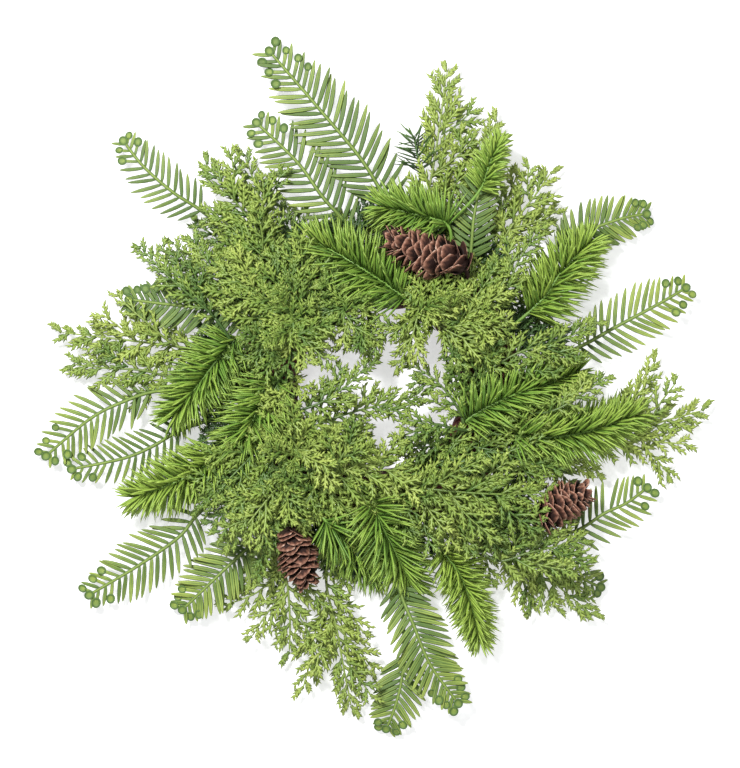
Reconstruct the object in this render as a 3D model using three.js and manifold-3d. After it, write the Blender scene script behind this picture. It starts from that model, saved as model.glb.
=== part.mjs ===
// Fresh evergreen wreath, lying on its back with its face up (+Z). Millimetres.
// A ring of twisted vines holds the stems of fern fronds, needle sprays, flat cedar sprays and three cones.
// Origin: on the surface, under the middle of the whole wreath. +Y is the top of the wreath as it is hung.

import * as THREE from 'three';
import Module from 'manifold-3d';

const wasm = await Module();
wasm.setup();

// ---------- driving dimensions ----------

const MM_PER_PX = 0.61; // the view is straight down: one pixel of it is this many millimetres
const VIEW_CENTRE_PX = [380, 388]; // the ring's centre in that view

const VINE = {
  ringRadius: 68,
  halfWidth: 18.6, // of the bundle of vines
  halfHeight: 13.4,
  height: 12.4, // the bundle's middle above the surface, so that its underside is cut flat
  strands: 3,
  halfStrand: 31, // degrees of the bundle's girth on each side of a strand's crest
  valley: 0.7, // depth of the grooves between strands, as a share of the bundle's own radius
  turns: 3, // of the twist, once round the ring
  steps: 33,
};
const VINE_OUTSIDE = VINE.ringRadius + VINE.halfWidth;
const VINE_TOP = VINE.height + VINE.halfHeight;
const VINES_REACH = VINE_OUTSIDE + 3; // out to here, foliage runs over the vines
const OVER_VINES = VINE_TOP + 2; // and this is the lowest that its stems lie there
const HOLE_MARGIN = 2; // how far out of the vines the hole for a stem is cut
const STEM_GAP = 0.3; // round each stem in its hole in the vines
const CLEAR_GAP = 0.35; // between pieces that are not in each other's holes
const LOWEST_LEAF = 1.2; // nothing but the vine ring comes nearer to the surface
const SEAT_RADII = [58, 76]; // a stem's end lies between these, inside the vines
const SEAT_REACH = 17; // how much of a stem runs in the vines
const LIFT_STEP = 1.3;
const MAX_LIFT = 44;
const SEAT_SLIDES = [0, 4, -4, 8, -8, 13, -13, 18, -18]; // degrees round the ring
const SEAT_SHIFTS = [0, -3.2, 3.2]; // up or down in the vines
const CURVE_STEPS = 200; // for measuring along a curve

// heights of a stem: in the vines, where its foliage starts, and at its tip
const LAYERS = {
  floor: { seat: 9.5, root: 10, tip: 5 },
  low: { seat: 11.5, root: 14, tip: 9 },
  middle: { seat: 15.5, root: 22, tip: 17 },
  high: { seat: 18, root: 31, tip: 27 },
  top: { seat: 20, root: 37, tip: 36 },
};

const FROND = {
  stemWidth: 2.4,
  tipWidth: 1.3,
  stemThickness: 1.5,
  bladeThickness: 0.66,
  spacing: 8,
  lean: 54, // degrees between a leaflet and the rib
  droop: -5,
  arch: 5,
  buttonRadius: 2.7,
  endLength: 5, // of the round end past the last leaflets
  roundFrom: 0.78, // share of the rib past which leaflets end in a round button
  roundLength: 0.86, // of such a leaflet, beside a pointed one
  shortest: 0.25, // leaflet, beside the longest
  swellFrom: 0.24,
};
const CEDAR = {
  stemWidth: 2,
  tipWidth: 1.3,
  stemThickness: 1.4,
  bladeThickness: 0.72,
  spacing: 8.8,
  length: 15,
  lean: 44,
  droop: 3,
  arch: 4,
  shortest: 0.45, // branchlet, beside the longest
  swellFrom: 0.2,
  forkStem: 0.8, // width and thickness of a side branch's stem, beside the main one's
};
const SWELL_SPAN = 0.7; // half turns of the sine that blade lengths follow from the root to the tip
const RIB_OVER_BLADE = 0.2; // how much thicker a rib's tip is than its blades
const NEEDLE = {
  stemWidth: 2.2,
  tipWidth: 1.5,
  spacing: 4,
  length: 20,
  lean: 47,
  tipLean: 24,
  arch: 3,
  tipShortening: 0.22,
  underSlope: 0.45, // how much of its downward slope a needle under the stem keeps
};
const BARE_STEP = 20; // between the cross-sections of a bare stem
const BENDS = [0, 14, -12, 28, 44]; // degrees that a leaflet is bent up or down to come clear
const CUTS = [1, 0.72, 0.48]; // parts of a needle's length that are tried for the same

const CONE = {
  rows: 6,
  scales: 6, // round it in each row
  stalkRadius: 1.5,
  stalkParts: [0, 0.5, 0.94], // where the stalk has a section, as shares of its length
  arcFrom: 0.16, // its outline is part of a half turn of a sine
  arcTo: 0.93,
  fullness: 0.75,
  endRadius: 0.3, // beside its largest
  tuck: 0.26, // how far a scale's foot is drawn in, as a share of the radius
  tuckBetween: 0.92, // the foot between two scales, beside a scale's own
  scaleReach: 0.8, // of its row that a scale covers before its tip
  notch: 0.8, // radius between two scales' tips, beside a tip's
  tipForward: 0.42, // how far a tip lies in front of its ring, in rows
  notchForward: 0.05,
};

const COLOURS = {
  vine: 0x5a2a26,
  frond: 0x5f8f45,
  needles: 0x5d9a34,
  cedar: 0x86ad4b,
  cone: 0x8c5a4a,
};
const ROUGHNESS = { vine: 0.8, frond: 0.55, needles: 0.5, cedar: 0.6, cone: 0.7 };

// ---------- where each piece lies ----------
// Each path is a list of pixels of the view, from where the foliage starts to the tip.

const FRONDS = [
  {
    name: 'frond_bottom_short',
    layer: 'floor',
    path: [[404, 655], [400, 689], [392, 716], [385, 732]],
    length: 18,
  },
  {
    name: 'frond_right_hidden',
    layer: 'floor',
    path: [[545, 556], [567, 568], [585, 580], [604, 589]],
    length: 14,
  },
  {
    name: 'frond_upper_right',
    layer: 'floor',
    path: [[560, 256], [581, 235], [623, 218], [650, 213]],
    length: 19,
  },
  {
    name: 'frond_left_high',
    layer: 'middle',
    path: [[262, 312], [221, 309], [174, 305], [126, 299]],
    length: 20,
  },
  { name: 'frond_top_long', layer: 'low', path: [[386, 205], [366, 166], [322, 112], [267, 48]], length: 26 },
  {
    name: 'frond_top_left',
    layer: 'low',
    path: [[350, 228], [322, 196], [299, 164], [254, 120]],
    length: 22,
  },
  {
    name: 'frond_far_left',
    layer: 'low',
    path: [[203, 212], [174, 193], [143, 166], [121, 138]],
    length: 18,
  },
  { name: 'frond_left_end', layer: 'low', path: [[152, 392], [125, 401], [94, 416], [43, 458]], length: 20 },
  { name: 'frond_left_low', layer: 'low', path: [[181, 430], [153, 446], [128, 457], [68, 470]], length: 17 },
  {
    name: 'frond_lower_left',
    layer: 'low',
    path: [[198, 514], [181, 535], [144, 562], [86, 597]],
    length: 21,
  },
  {
    name: 'frond_bottom_left',
    layer: 'low',
    path: [[256, 540], [224, 570], [200, 593], [180, 612]],
    length: 21,
  },
  {
    name: 'frond_bottom',
    layer: 'middle',
    path: [[398, 585], [414, 626], [430, 664], [460, 706]],
    length: 21,
  },
  {
    name: 'frond_right_low',
    layer: 'low',
    path: [[575, 529], [607, 512], [627, 503], [650, 486]],
    length: 18,
  },
  { name: 'frond_right', layer: 'low', path: [[577, 348], [612, 329], [664, 301], [689, 286]], length: 21 },
  {
    name: 'frond_top_right',
    layer: 'middle',
    path: [[470, 260], [474, 216], [480, 186], [484, 168]],
    length: 13,
  },
];

const CEDARS_LOW = [
  { name: 'cedar_left_end', layer: 'low', path: [[215, 352], [165, 345], [110, 338], [58, 332]] },
  { name: 'cedar_left_lower', layer: 'low', path: [[175, 378], [140, 370], [105, 368], [71, 364]] },
  { name: 'cedar_left_upper', layer: 'low', path: [[175, 345], [150, 325], [130, 308], [115, 293]] },
  {
    name: 'cedar_upper_left',
    layer: 'middle',
    path: [[215, 318], [186, 292], [160, 268], [139, 246]],
    forks: [[[206, 310], [196, 280], [173, 242]]],
  },
  {
    name: 'cedar_top_left',
    layer: 'middle',
    path: [[282, 262], [252, 222], [226, 190], [206, 163]],
    forks: [[[272, 248], [262, 205], [244, 154]]],
  },
  { name: 'cedar_top', layer: 'low', path: [[424, 214], [433, 168], [441, 116], [447, 66]] },
  { name: 'cedar_top_right', layer: 'low', path: [[448, 226], [466, 186], [484, 150], [497, 119]] },
  {
    name: 'cedar_upper_right',
    layer: 'low',
    path: [[496, 250], [516, 220], [536, 194], [552, 171]],
    forks: [[[506, 236], [530, 228], [557, 210]], [[500, 244], [506, 206], [519, 170]]],
  },
  {
    name: 'cedar_right_end',
    layer: 'low',
    path: [[590, 446], [630, 432], [668, 420], [705, 410]],
    forks: [[[604, 441], [630, 404], [656, 360]], [[612, 438], [648, 452], [670, 475]]],
  },
  {
    name: 'cedar_bottom_left',
    layer: 'low',
    path: [[284, 556], [288, 590], [290, 624], [289, 655]],
    forks: [[[285, 566], [258, 592], [224, 606]]],
  },
  {
    name: 'cedar_bottom',
    layer: 'low',
    path: [[326, 580], [336, 626], [344, 670], [352, 711]],
    forks: [[[332, 606], [314, 650], [302, 692]], [[336, 626], [358, 650], [375, 672]]],
  },
  {
    name: 'cedar_lower_right',
    layer: 'low',
    path: [[476, 500], [510, 536], [556, 584], [595, 617]],
    forks: [[[500, 526], [520, 572], [532, 611]], [[534, 562], [548, 590], [555, 610]]],
  },
];

const NEEDLE_SPRAYS = [
  { name: 'needles_top', layer: 'low', path: [[480, 190], [489, 165], [500, 138]], length: 15 },
  { name: 'pine_tuft', layer: 'low', path: [[420, 172], [417, 152], [414, 134]], length: 13 },
  { name: 'needles_over_top_cone', layer: 'middle', path: [[448, 226], [420, 216], [380, 206]] },
  { name: 'needles_upper_left', layer: 'middle', path: [[405, 298], [387, 285], [353, 263], [311, 239]] },
  { name: 'needles_upper_right', layer: 'middle', path: [[528, 313], [547, 294], [560, 274], [591, 241]] },
  { name: 'needles_right', layer: 'middle', path: [[465, 422], [511, 396], [545, 385], [579, 371]] },
  { name: 'needles_right_low', layer: 'middle', path: [[512, 436], [555, 437], [590, 431], [639, 414]] },
  { name: 'needles_left', layer: 'middle', path: [[238, 338], [216, 362], [196, 388], [171, 419]] },
  { name: 'needles_left_inner', layer: 'middle', path: [[278, 380], [260, 406], [248, 434], [233, 467]] },
  { name: 'needles_lower_left', layer: 'middle', path: [[222, 450], [196, 472], [166, 486], [132, 498]] },
  {
    name: 'needles_bottom_left',
    layer: 'low',
    path: [[325, 520], [345, 540], [362, 556], [380, 574]],
    length: 15,
  },
  { name: 'needles_bottom', layer: 'middle', path: [[370, 500], [384, 530], [397, 556], [412, 587]] },
  { name: 'needles_bottom_right', layer: 'middle', path: [[441, 548], [458, 572], [471, 604], [480, 642]] },
];

// a cone's path runs from its base to its apex
const CONES = [
  { name: 'cone_top', layer: 'top', path: [[466, 264], [425, 254], [381, 239]], radius: 13.2 },
  { name: 'cone_right', layer: 'high', path: [[534, 514], [562, 503], [590, 491]], radius: 12.6 },
  { name: 'cone_lower_left', layer: 'high', path: [[291, 529], [299, 558], [309, 589]], radius: 13.4 },
];

const CEDARS_HIGH = [
  { name: 'cedar_over_left', layer: 'high', path: [[292, 352], [258, 318], [222, 282], [192, 238]] },
  { name: 'cedar_over_upper_left', layer: 'high', path: [[322, 316], [290, 280], [256, 250], [218, 214]] },
  { name: 'cedar_over_right', layer: 'high', path: [[476, 330], [502, 296], [520, 258], [542, 226]] },
  { name: 'cedar_over_right_low', layer: 'high', path: [[486, 372], [520, 352], [556, 342], [598, 322]] },
  { name: 'cedar_right_middle', layer: 'high', path: [[548, 412], [570, 402], [590, 388], [607, 376]] },
  { name: 'cedar_over_bottom_right', layer: 'high', path: [[496, 560], [526, 553], [556, 546], [583, 540]] },
  { name: 'cedar_over_right_cone', layer: 'top', path: [[418, 488], [464, 492], [508, 494], [548, 492]] },
  {
    name: 'cedar_left_inner',
    layer: 'high',
    path: [[278, 440], [271, 475], [270, 512], [270, 546]],
    forks: [[[274, 456], [256, 486], [236, 513]], [[271, 480], [284, 506], [293, 528]]],
  },
  {
    name: 'cedar_over_bottom',
    layer: 'high',
    path: [[300, 466], [338, 476], [366, 492], [388, 507]],
    forks: [[[308, 468], [316, 494], [322, 519]]],
  },
];

// short sprigs that reach over the hole
const HOLE_SPRIGS = [
  { name: 'sprig_long', layer: 'high', path: [[300, 432], [340, 416], [384, 404], [424, 395]], length: 10 },
  { name: 'sprig_left', layer: 'top', path: [[296, 412], [322, 402], [346, 386], [370, 363]], length: 10 },
  { name: 'sprig_top', layer: 'high', path: [[430, 316], [402, 328], [372, 338], [340, 345]], length: 9 },
  { name: 'sprig_right', layer: 'high', path: [[462, 418], [448, 394], [430, 376], [407, 363]], length: 9 },
  {
    name: 'sprig_low_right',
    layer: 'top',
    path: [[452, 428], [434, 424], [412, 432], [392, 440]],
    length: 8,
  },
  { name: 'sprig_low', layer: 'top', path: [[335, 470], [342, 456], [354, 440], [365, 426]], length: 9 },
];

// clear shafts through the hole, as pixel boxes: nothing reaches into them
const OPEN_SHAFTS = [
  [[433, 356], [450, 374]],
  [[317, 365], [336, 385]],
  [[427, 400], [446, 411]],
  [[378, 313], [396, 323]],
];
const SHAFT_HEIGHT = 120;

// ---------- small helpers ----------

const UP = new THREE.Vector3(0, 0, 1);
const radians = THREE.MathUtils.degToRad;
const lerp = THREE.MathUtils.lerp;

function toMillimetres([px, py], z = 0) {
  return new THREE.Vector3((px - VIEW_CENTRE_PX[0]) * MM_PER_PX, (VIEW_CENTRE_PX[1] - py) * MM_PER_PX, z);
}

// a growing closed surface: shared points and outward triangles
class Surface {
  constructor() {
    this.points = [];
    this.faces = [];
  }
  point(v) {
    this.points.push(v.x, v.y, v.z);
    return this.points.length / 3 - 1;
  }
  face(a, b, c) {
    this.faces.push(a, b, c);
  }
  quad(a, b, c, d) {
    this.face(a, b, c);
    this.face(a, c, d);
  }
  solid() {
    const mesh = new wasm.Mesh({
      numProp: 3,
      vertProperties: new Float32Array(this.points),
      triVerts: new Uint32Array(this.faces),
    });
    return new wasm.Manifold(mesh);
  }
}

function toMesh(name, solid, colour, roughness) {
  const { vertProperties, triVerts } = solid.getMesh();
  const geometry = new THREE.BufferGeometry();
  geometry.setAttribute('position', new THREE.BufferAttribute(new Float32Array(vertProperties), 3));
  geometry.setIndex(new THREE.BufferAttribute(new Uint32Array(triVerts), 1));
  geometry.computeVertexNormals();
  const material = new THREE.MeshStandardMaterial({ color: colour, roughness, metalness: 0 });
  const mesh = new THREE.Mesh(geometry, material);
  mesh.name = name;
  return mesh;
}

// the largest body of a solid, without loose scraps
function largest(solid) {
  const bodies = solid.decompose();
  bodies.sort((a, b) => b.volume() - a.volume());
  return bodies[0];
}

function union(solids) {
  return solids.length === 1 ? solids[0] : largest(wasm.Manifold.union(solids));
}

// rings of points joined in order: with closed ends, or end to start where it is a loop
function loft(rings, loop = false) {
  const surface = new Surface();
  const rows = rings.map((ring) => ring.map((p) => surface.point(p)));
  const count = rings.length - (loop ? 0 : 1);
  for (let i = 0; i < count; i += 1) {
    joinRows(surface, rows[i], rows[(i + 1) % rings.length]);
  }
  if (!loop) {
    capRow(surface, rows[0], true);
    capRow(surface, rows.at(-1), false);
  }
  return surface.solid();
}

function joinRows(surface, row, next) {
  row.forEach((a, k) => {
    const b = row[(k + 1) % row.length];
    surface.quad(a, b, next[(k + 1) % row.length], next[k]);
  });
}

function capRow(surface, row, start) {
  for (let k = 1; k < row.length - 1; k += 1) {
    surface.face(row[0], start ? row[k + 1] : row[k], start ? row[k] : row[k + 1]);
  }
}

// ---------- paths and frames ----------

// along the stem, sideways to its left, and out of its upper face
function frameAt(curve, part) {
  const t = THREE.MathUtils.clamp(part, 0, 1);
  const along = curve.getTangentAt(t);
  const left = new THREE.Vector3().crossVectors(UP, along).normalize();
  return { at: curve.getPointAt(t), along, left, out: new THREE.Vector3().crossVectors(along, left) };
}

// where a stem ends in the vines: behind its root, moved round the ring by slide degrees and up by shift
function seatOf(spray, slide, shift) {
  const [root, next] = spray.path.slice(0, 2).map((p) => toMillimetres(p));
  const seat = root.clone().sub(next.sub(root).normalize().multiplyScalar(SEAT_REACH));
  const radius = THREE.MathUtils.clamp(seat.length(), ...SEAT_RADII);
  seat.setLength(radius).applyAxisAngle(UP, radians(slide));
  seat.z = LAYERS[spray.layer].seat + shift;
  return seat;
}

// the stem's middle line: from its seat up to its layer, then along its path with a low arch
function routeOf(spray, kind, lift, slide, shift) {
  const { root, tip } = LAYERS[spray.layer];
  const last = spray.path.length - 1;
  const points = spray.path.map((p, i) => {
    const part = i / last;
    const point = toMillimetres(p);
    const overVines = point.length() < VINES_REACH ? OVER_VINES : 0;
    point.z = Math.max(lerp(root, tip, part) + kind.arch * Math.sin(Math.PI * part), overVines) + lift;
    return point;
  });
  return new THREE.CatmullRomCurve3([seatOf(spray, slide, shift), ...points], false, 'centripetal');
}

// the part of the curve's length at which its foliage starts
function rootPart(curve) {
  const lengths = curve.getLengths(CURVE_STEPS);
  const index = Math.round(CURVE_STEPS / (curve.points.length - 1));
  return lengths[index] / lengths[CURVE_STEPS];
}

// where the curve has cross-sections: a few on its bare stem, then one for each step of its foliage
function stationParts(start, leafy, length, spacing, fewestSteps) {
  const bareSteps = Math.max(2, Math.round((start * length) / BARE_STEP));
  const leafSteps = Math.max(fewestSteps, Math.round((leafy * length) / spacing));
  const parts = [];
  for (let i = 0; i < bareSteps; i += 1) parts.push((start * i) / bareSteps);
  for (let i = 0; i <= leafSteps; i += 1) parts.push(start + (leafy * i) / leafSteps);
  return { parts, leafSteps };
}

// ---------- flat sprays: a rib with thin blades cut to it ----------

// a blade's outline in front of its base: [share of its length, share of half its spacing]
const LEAFLET = {
  outline: [[1, -0.1], [0.62, 0.66]],
  top: [[0, 1, 2], [0, 2, 3]],
};
const BUTTON = {
  outline: [[0.72, -0.28], [0.86, -0.95], [1.06, 0], [0.86, 0.95], [0.7, 0.28]],
  top: [[0, 1, 6], [1, 5, 6], [1, 2, 3], [1, 3, 5], [3, 4, 5]],
};
const FORK = {
  outline: [[0.74, -0.86], [0.5, -0.12], [1, 0.2]],
  top: [[0, 1, 2], [0, 2, 4], [2, 3, 4]],
};

// the outer points of one blade, each as an upper and a lower point
function bladePoints(kind, shape, station, side, length, bend) {
  const outward = station.left.clone().multiplyScalar(side * Math.cos(radians(bend)));
  outward.addScaledVector(station.out, Math.sin(radians(bend)));
  const lean = radians(kind.lean);
  const reach = station.along.clone().multiplyScalar(Math.cos(lean)).addScaledVector(outward, Math.sin(lean));
  const forward = station.along.clone().multiplyScalar(Math.sin(lean));
  const across = forward.addScaledVector(outward, -Math.cos(lean));
  const face = new THREE.Vector3().crossVectors(reach, across).normalize().multiplyScalar(side);
  if (face.z < 0) face.negate();
  const half = station.spread * Math.sin(lean) * 0.5;
  const base = station.at.clone().addScaledVector(station.left, (side * station.width) / 2);
  return shape.outline.map(([far, wide]) => {
    const middle = base.clone().addScaledVector(reach, far * length).addScaledVector(across, wide * half);
    const shift = face.clone().multiplyScalar(kind.bladeThickness / 2);
    return [middle.clone().add(shift), middle.clone().sub(shift)];
  });
}

// joins a blade to the four points of its base: upper and lower, back and front
function addBlade(surface, shape, side, base, outer) {
  const upper = [base.upperBack, ...outer.map((pair) => pair[0]), base.upperFront];
  const lower = [base.lowerBack, ...outer.map((pair) => pair[1]), base.lowerFront];
  const face = (a, b, c) => (side > 0 ? surface.face(a, c, b) : surface.face(a, b, c));
  for (const [a, b, c] of shape.top) {
    face(upper[a], upper[b], upper[c]);
    face(lower[a], lower[c], lower[b]);
  }
  for (let k = 0; k + 1 < upper.length; k += 1) {
    face(upper[k], lower[k], lower[k + 1]);
    face(upper[k], lower[k + 1], upper[k + 1]);
  }
  return () => {
    const last = upper.length - 1;
    face(upper[last], lower[last], lower[0]);
    face(upper[last], lower[0], upper[0]);
  };
}

// one blade alone, to test what it would cross
function bladeProbe(shape, side, corners, outer) {
  const surface = new Surface();
  const base = {};
  for (const key of Object.keys(corners)) base[key] = surface.point(corners[key]);
  const indexed = outer.map((pair) => pair.map((p) => surface.point(p)));
  addBlade(surface, shape, side, base, indexed)();
  return surface.solid();
}

// the rib's cross-sections: a bare stem from the seat, then one station for each blade or pair
function ribStations(curve, kind) {
  const length = curve.getLength();
  const start = rootPart(curve);
  const leafy = 1 - (kind.endLength ?? 0) / length - start;
  const { parts, leafSteps } = stationParts(start, leafy, length, kind.spacing, 3);
  return parts.map((part) => ({
    ...frameAt(curve, part),
    along01: THREE.MathUtils.clamp((part - start) / leafy, 0, 1),
    leafy: part >= start - 1e-6,
    spread: (leafy * length) / leafSteps,
    width: lerp(kind.stemWidth, kind.tipWidth, part),
    thickness: lerp(kind.stemThickness, kind.bladeThickness + RIB_OVER_BLADE, part),
  }));
}

function sectionOf(station, width = station.width) {
  const corner = (side, level) =>
    station.at
      .clone()
      .addScaledVector(station.left, (side * width) / 2)
      .addScaledVector(station.out, (level * station.thickness) / 2);
  return [corner(1, 1), corner(1, -1), corner(-1, -1), corner(-1, 1)];
}

// a round end on a rib: two more sections, the first of them wide
function buttonSections(kind, station) {
  const grow = (distance, width) => sectionOf({ ...station, at: advance(station, distance) }, width);
  return [grow(kind.endLength / 2, kind.buttonRadius * 2), grow(kind.endLength, kind.buttonRadius)];
}

function advance(station, distance) {
  return station.at.clone().addScaledVector(station.along, distance);
}

// the blades of one rib: { step, side, shape, outer points } for each that comes clear
function chooseBlades(kind, stations, bladeAt, clear) {
  const blades = [];
  for (let step = 0; step + 1 < stations.length; step += 1) {
    if (!stations[step].leafy) continue;
    for (const side of [1, -1]) {
      const wanted = bladeAt(stations[step].along01, step, side);
      if (!wanted) continue;
      const station = { ...stations[step], at: stations[step].at.clone().lerp(stations[step + 1].at, 0.5) };
      const corners = baseCorners(stations, step, side);
      for (const bend of BENDS) {
        const outer = bladePoints(kind, wanted.shape, station, side, wanted.length, kind.droop + bend);
        if (clear(bladeProbe(wanted.shape, side, corners, outer))) {
          blades.push({ step, side, shape: wanted.shape, outer });
          break;
        }
      }
    }
  }
  return blades;
}

function baseCorners(stations, step, side) {
  const [back, front] = [sectionOf(stations[step]), sectionOf(stations[step + 1])];
  const [upper, lower] = side > 0 ? [0, 1] : [3, 2];
  return {
    upperBack: back[upper],
    lowerBack: back[lower],
    upperFront: front[upper],
    lowerFront: front[lower],
  };
}

// the round end alone, to test what it would cross; a loft takes its rings the other way round
function endProbe(sections) {
  return loft(sections.map((row) => row.toReversed()));
}

// one closed body from the rib's sections, its blades and its end
function ribSolid(stations, blades = [], endSections = []) {
  const surface = new Surface();
  const sections = [...stations.map((station) => sectionOf(station)), ...endSections];
  const rows = sections.map((section) => section.map((p) => surface.point(p)));
  const find = (step, side) => blades.find((blade) => blade.step === step && blade.side === side);
  for (let step = 0; step + 1 < rows.length; step += 1) {
    const [a, b] = [rows[step], rows[step + 1]];
    surface.quad(a[0], a[3], b[3], b[0]);
    surface.quad(a[2], a[1], b[1], b[2]);
    for (const side of [1, -1]) {
      const [upper, lower] = side > 0 ? [0, 1] : [3, 2];
      const blade = find(step, side);
      if (blade) {
        const base = { upperBack: a[upper], lowerBack: a[lower], upperFront: b[upper], lowerFront: b[lower] };
        const outer = blade.outer.map((pair) => pair.map((p) => surface.point(p)));
        addBlade(surface, blade.shape, side, base, outer);
      } else if (side > 0) {
        surface.quad(a[1], a[0], b[0], b[1]);
      } else {
        surface.quad(a[3], a[2], b[2], b[3]);
      }
    }
  }
  const [first, last] = [rows[0], rows.at(-1)];
  surface.quad(first[0], first[1], first[2], first[3]);
  surface.quad(last[3], last[2], last[1], last[0]);
  return surface.solid();
}

// a blade's length beside the longest one: it swells and shrinks along the rib
function swell(kind, along) {
  return lerp(kind.shortest, 1, Math.sin(Math.PI * (kind.swellFrom + SWELL_SPAN * along)));
}

// a leaflet on each side at each step, with round ends on the last of them
function frondBladeAt(spray) {
  return (along) => {
    const length = spray.length * swell(FROND, along);
    const round = along > FROND.roundFrom;
    return { shape: round ? BUTTON : LEAFLET, length: round ? length * FROND.roundLength : length };
  };
}

// forked branchlets on alternate sides, longest near the middle
function cedarBladeAt(spray) {
  const longest = spray.length ?? CEDAR.length;
  return (along, step, side) => {
    if ((step % 2 === 0) !== side > 0) return null;
    return { shape: FORK, length: longest * swell(CEDAR, along) };
  };
}

// ---------- needle sprays: a slim core whose faces are drawn out to needles ----------

const CORE_SIDES = 4;

function coreStations(curve, kind) {
  const start = rootPart(curve);
  const { parts } = stationParts(start, 1 - start, curve.getLength(), kind.spacing, 4);
  return parts.map((part) => ({
    ...frameAt(curve, part),
    along01: (part - start) / (1 - start),
    leafy: part >= start - 1e-6,
    radius: lerp(kind.stemWidth, kind.tipWidth, part) / 2,
  }));
}

function coreRing(station, turn) {
  const ring = [];
  for (let k = 0; k < CORE_SIDES; k += 1) {
    const angle = turn + (Math.PI * 2 * k) / CORE_SIDES;
    ring.push(
      station.at
        .clone()
        .addScaledVector(station.left, Math.cos(angle) * station.radius * Math.SQRT2)
        .addScaledVector(station.out, Math.sin(angle) * station.radius * Math.SQRT2),
    );
  }
  return ring;
}

// the point of the needle that grows from the face a, b, c of the core
function needleTip(spray, station, corners, share) {
  const middle = corners[0].clone().add(corners[1]).add(corners[2]).divideScalar(3);
  const radial = middle.clone().sub(station.at);
  radial.addScaledVector(station.along, -radial.dot(station.along)).normalize();
  const lean = radians(lerp(NEEDLE.lean, NEEDLE.tipLean, station.along01 ** 2));
  const reach = station.along.clone().multiplyScalar(Math.cos(lean)).addScaledVector(radial, Math.sin(lean));
  if (reach.z < 0) reach.z *= NEEDLE.underSlope;
  const length = (spray.length ?? NEEDLE.length) * share * (1 - NEEDLE.tipShortening * station.along01);
  return middle.addScaledVector(reach.normalize(), length);
}

function needleProbe(corners, tip) {
  const surface = new Surface();
  const [a, b, c, d] = [...corners, tip].map((p) => surface.point(p));
  surface.face(a, b, d);
  surface.face(b, c, d);
  surface.face(c, a, d);
  surface.face(a, c, b);
  return surface.solid();
}

// the core as one closed body: every second face of its leafy part carries a needle
function needleSolid(spray, stations, clear) {
  const surface = new Surface();
  const turn = Math.PI / 4;
  const rings = stations.map((station) => coreRing(station, turn));
  const rows = rings.map((ring) => ring.map((p) => surface.point(p)));
  const place = (index) => new THREE.Vector3().fromArray(surface.points, index * 3);
  const addFace = (step, k, a, b, c) => {
    const station = stations[step];
    if (clear && station.leafy && (step + k) % 2 === 0) {
      const corners = [a, b, c].map(place);
      for (const share of CUTS) {
        const tip = needleTip(spray, station, corners, share);
        if (clear(needleProbe(corners, tip))) {
          const d = surface.point(tip);
          surface.face(a, b, d);
          surface.face(b, c, d);
          surface.face(c, a, d);
          return;
        }
      }
    }
    surface.face(a, b, c);
  };
  for (let step = 0; step + 1 < rows.length; step += 1) {
    for (let k = 0; k < CORE_SIDES; k += 1) {
      const next = (k + 1) % CORE_SIDES;
      const [a, b, c, d] = [rows[step][k], rows[step][next], rows[step + 1][next], rows[step + 1][k]];
      addFace(step, k, a, b, c);
      addFace(step, k + 1, a, c, d);
    }
  }
  capRow(surface, rows[0], true);
  capRow(surface, rows.at(-1), false);
  return surface.solid();
}

// ---------- cones: a stalk and rows of overlapping scales raised by a formula ----------

// narrow at the base, widest near the middle, blunt at the apex
function coneRadius(largestRadius, u) {
  const arc = Math.min(lerp(CONE.arcFrom, 1, u), CONE.arcTo);
  return largestRadius * lerp(CONE.endRadius, 1, Math.sin(Math.PI * arc) ** CONE.fullness);
}

function coneSolid(spray, curve) {
  const sides = CONE.scales * 2;
  const start = rootPart(curve);
  const rings = [];
  const ringAt = (part, radiusAt, forwardAt = () => 0) => {
    const station = frameAt(curve, part);
    const ring = [];
    for (let k = 0; k < sides; k += 1) {
      const angle = (Math.PI * 2 * k) / sides;
      ring.push(
        station.at
          .clone()
          .addScaledVector(station.along, forwardAt(k))
          .addScaledVector(station.left, Math.cos(angle) * radiusAt(k))
          .addScaledVector(station.out, Math.sin(angle) * radiusAt(k)),
      );
    }
    rings.push(ring);
  };
  for (const part of CONE.stalkParts) ringAt(start * part, () => CONE.stalkRadius);
  const body = (u) => coneRadius(spray.radius, u);
  const rowLength = ((1 - start) * curve.getLength()) / CONE.rows;
  for (let row = 0; row < CONE.rows; row += 1) {
    const [foot, tip] = [row / CONE.rows, (row + CONE.scaleReach) / CONE.rows];
    const onScale = (k) => (k + row) % 2 === 0;
    ringAt(lerp(start, 1, foot), (k) => body(foot) * (1 - CONE.tuck) * (onScale(k) ? 1 : CONE.tuckBetween));
    ringAt(
      lerp(start, 1, tip),
      (k) => body(tip) * (onScale(k) ? 1 : CONE.notch),
      (k) => (onScale(k) ? CONE.tipForward : CONE.notchForward) * rowLength,
    );
  }
  return loft(rings);
}

// ---------- the vine ring ----------

// the bundle's girth at one place round the ring: each strand has two crest points and a groove beside it
function vineSection(angle) {
  const outward = new THREE.Vector3(Math.cos(angle), Math.sin(angle), 0);
  const section = [];
  for (let strand = 0; strand < VINE.strands; strand += 1) {
    const crest = (360 * strand) / VINE.strands + THREE.MathUtils.radToDeg(angle) * VINE.turns;
    const girth = [
      [crest - VINE.halfStrand, 1],
      [crest + VINE.halfStrand, 1],
      [crest + 180 / VINE.strands, VINE.valley],
    ];
    for (const [around, depth] of girth) {
      const wide = Math.cos(radians(around)) * depth * VINE.halfWidth;
      const high = Math.sin(radians(around)) * depth * VINE.halfHeight;
      section.push(outward.clone().multiplyScalar(VINE.ringRadius + wide).setZ(VINE.height + high));
    }
  }
  return section;
}

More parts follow.
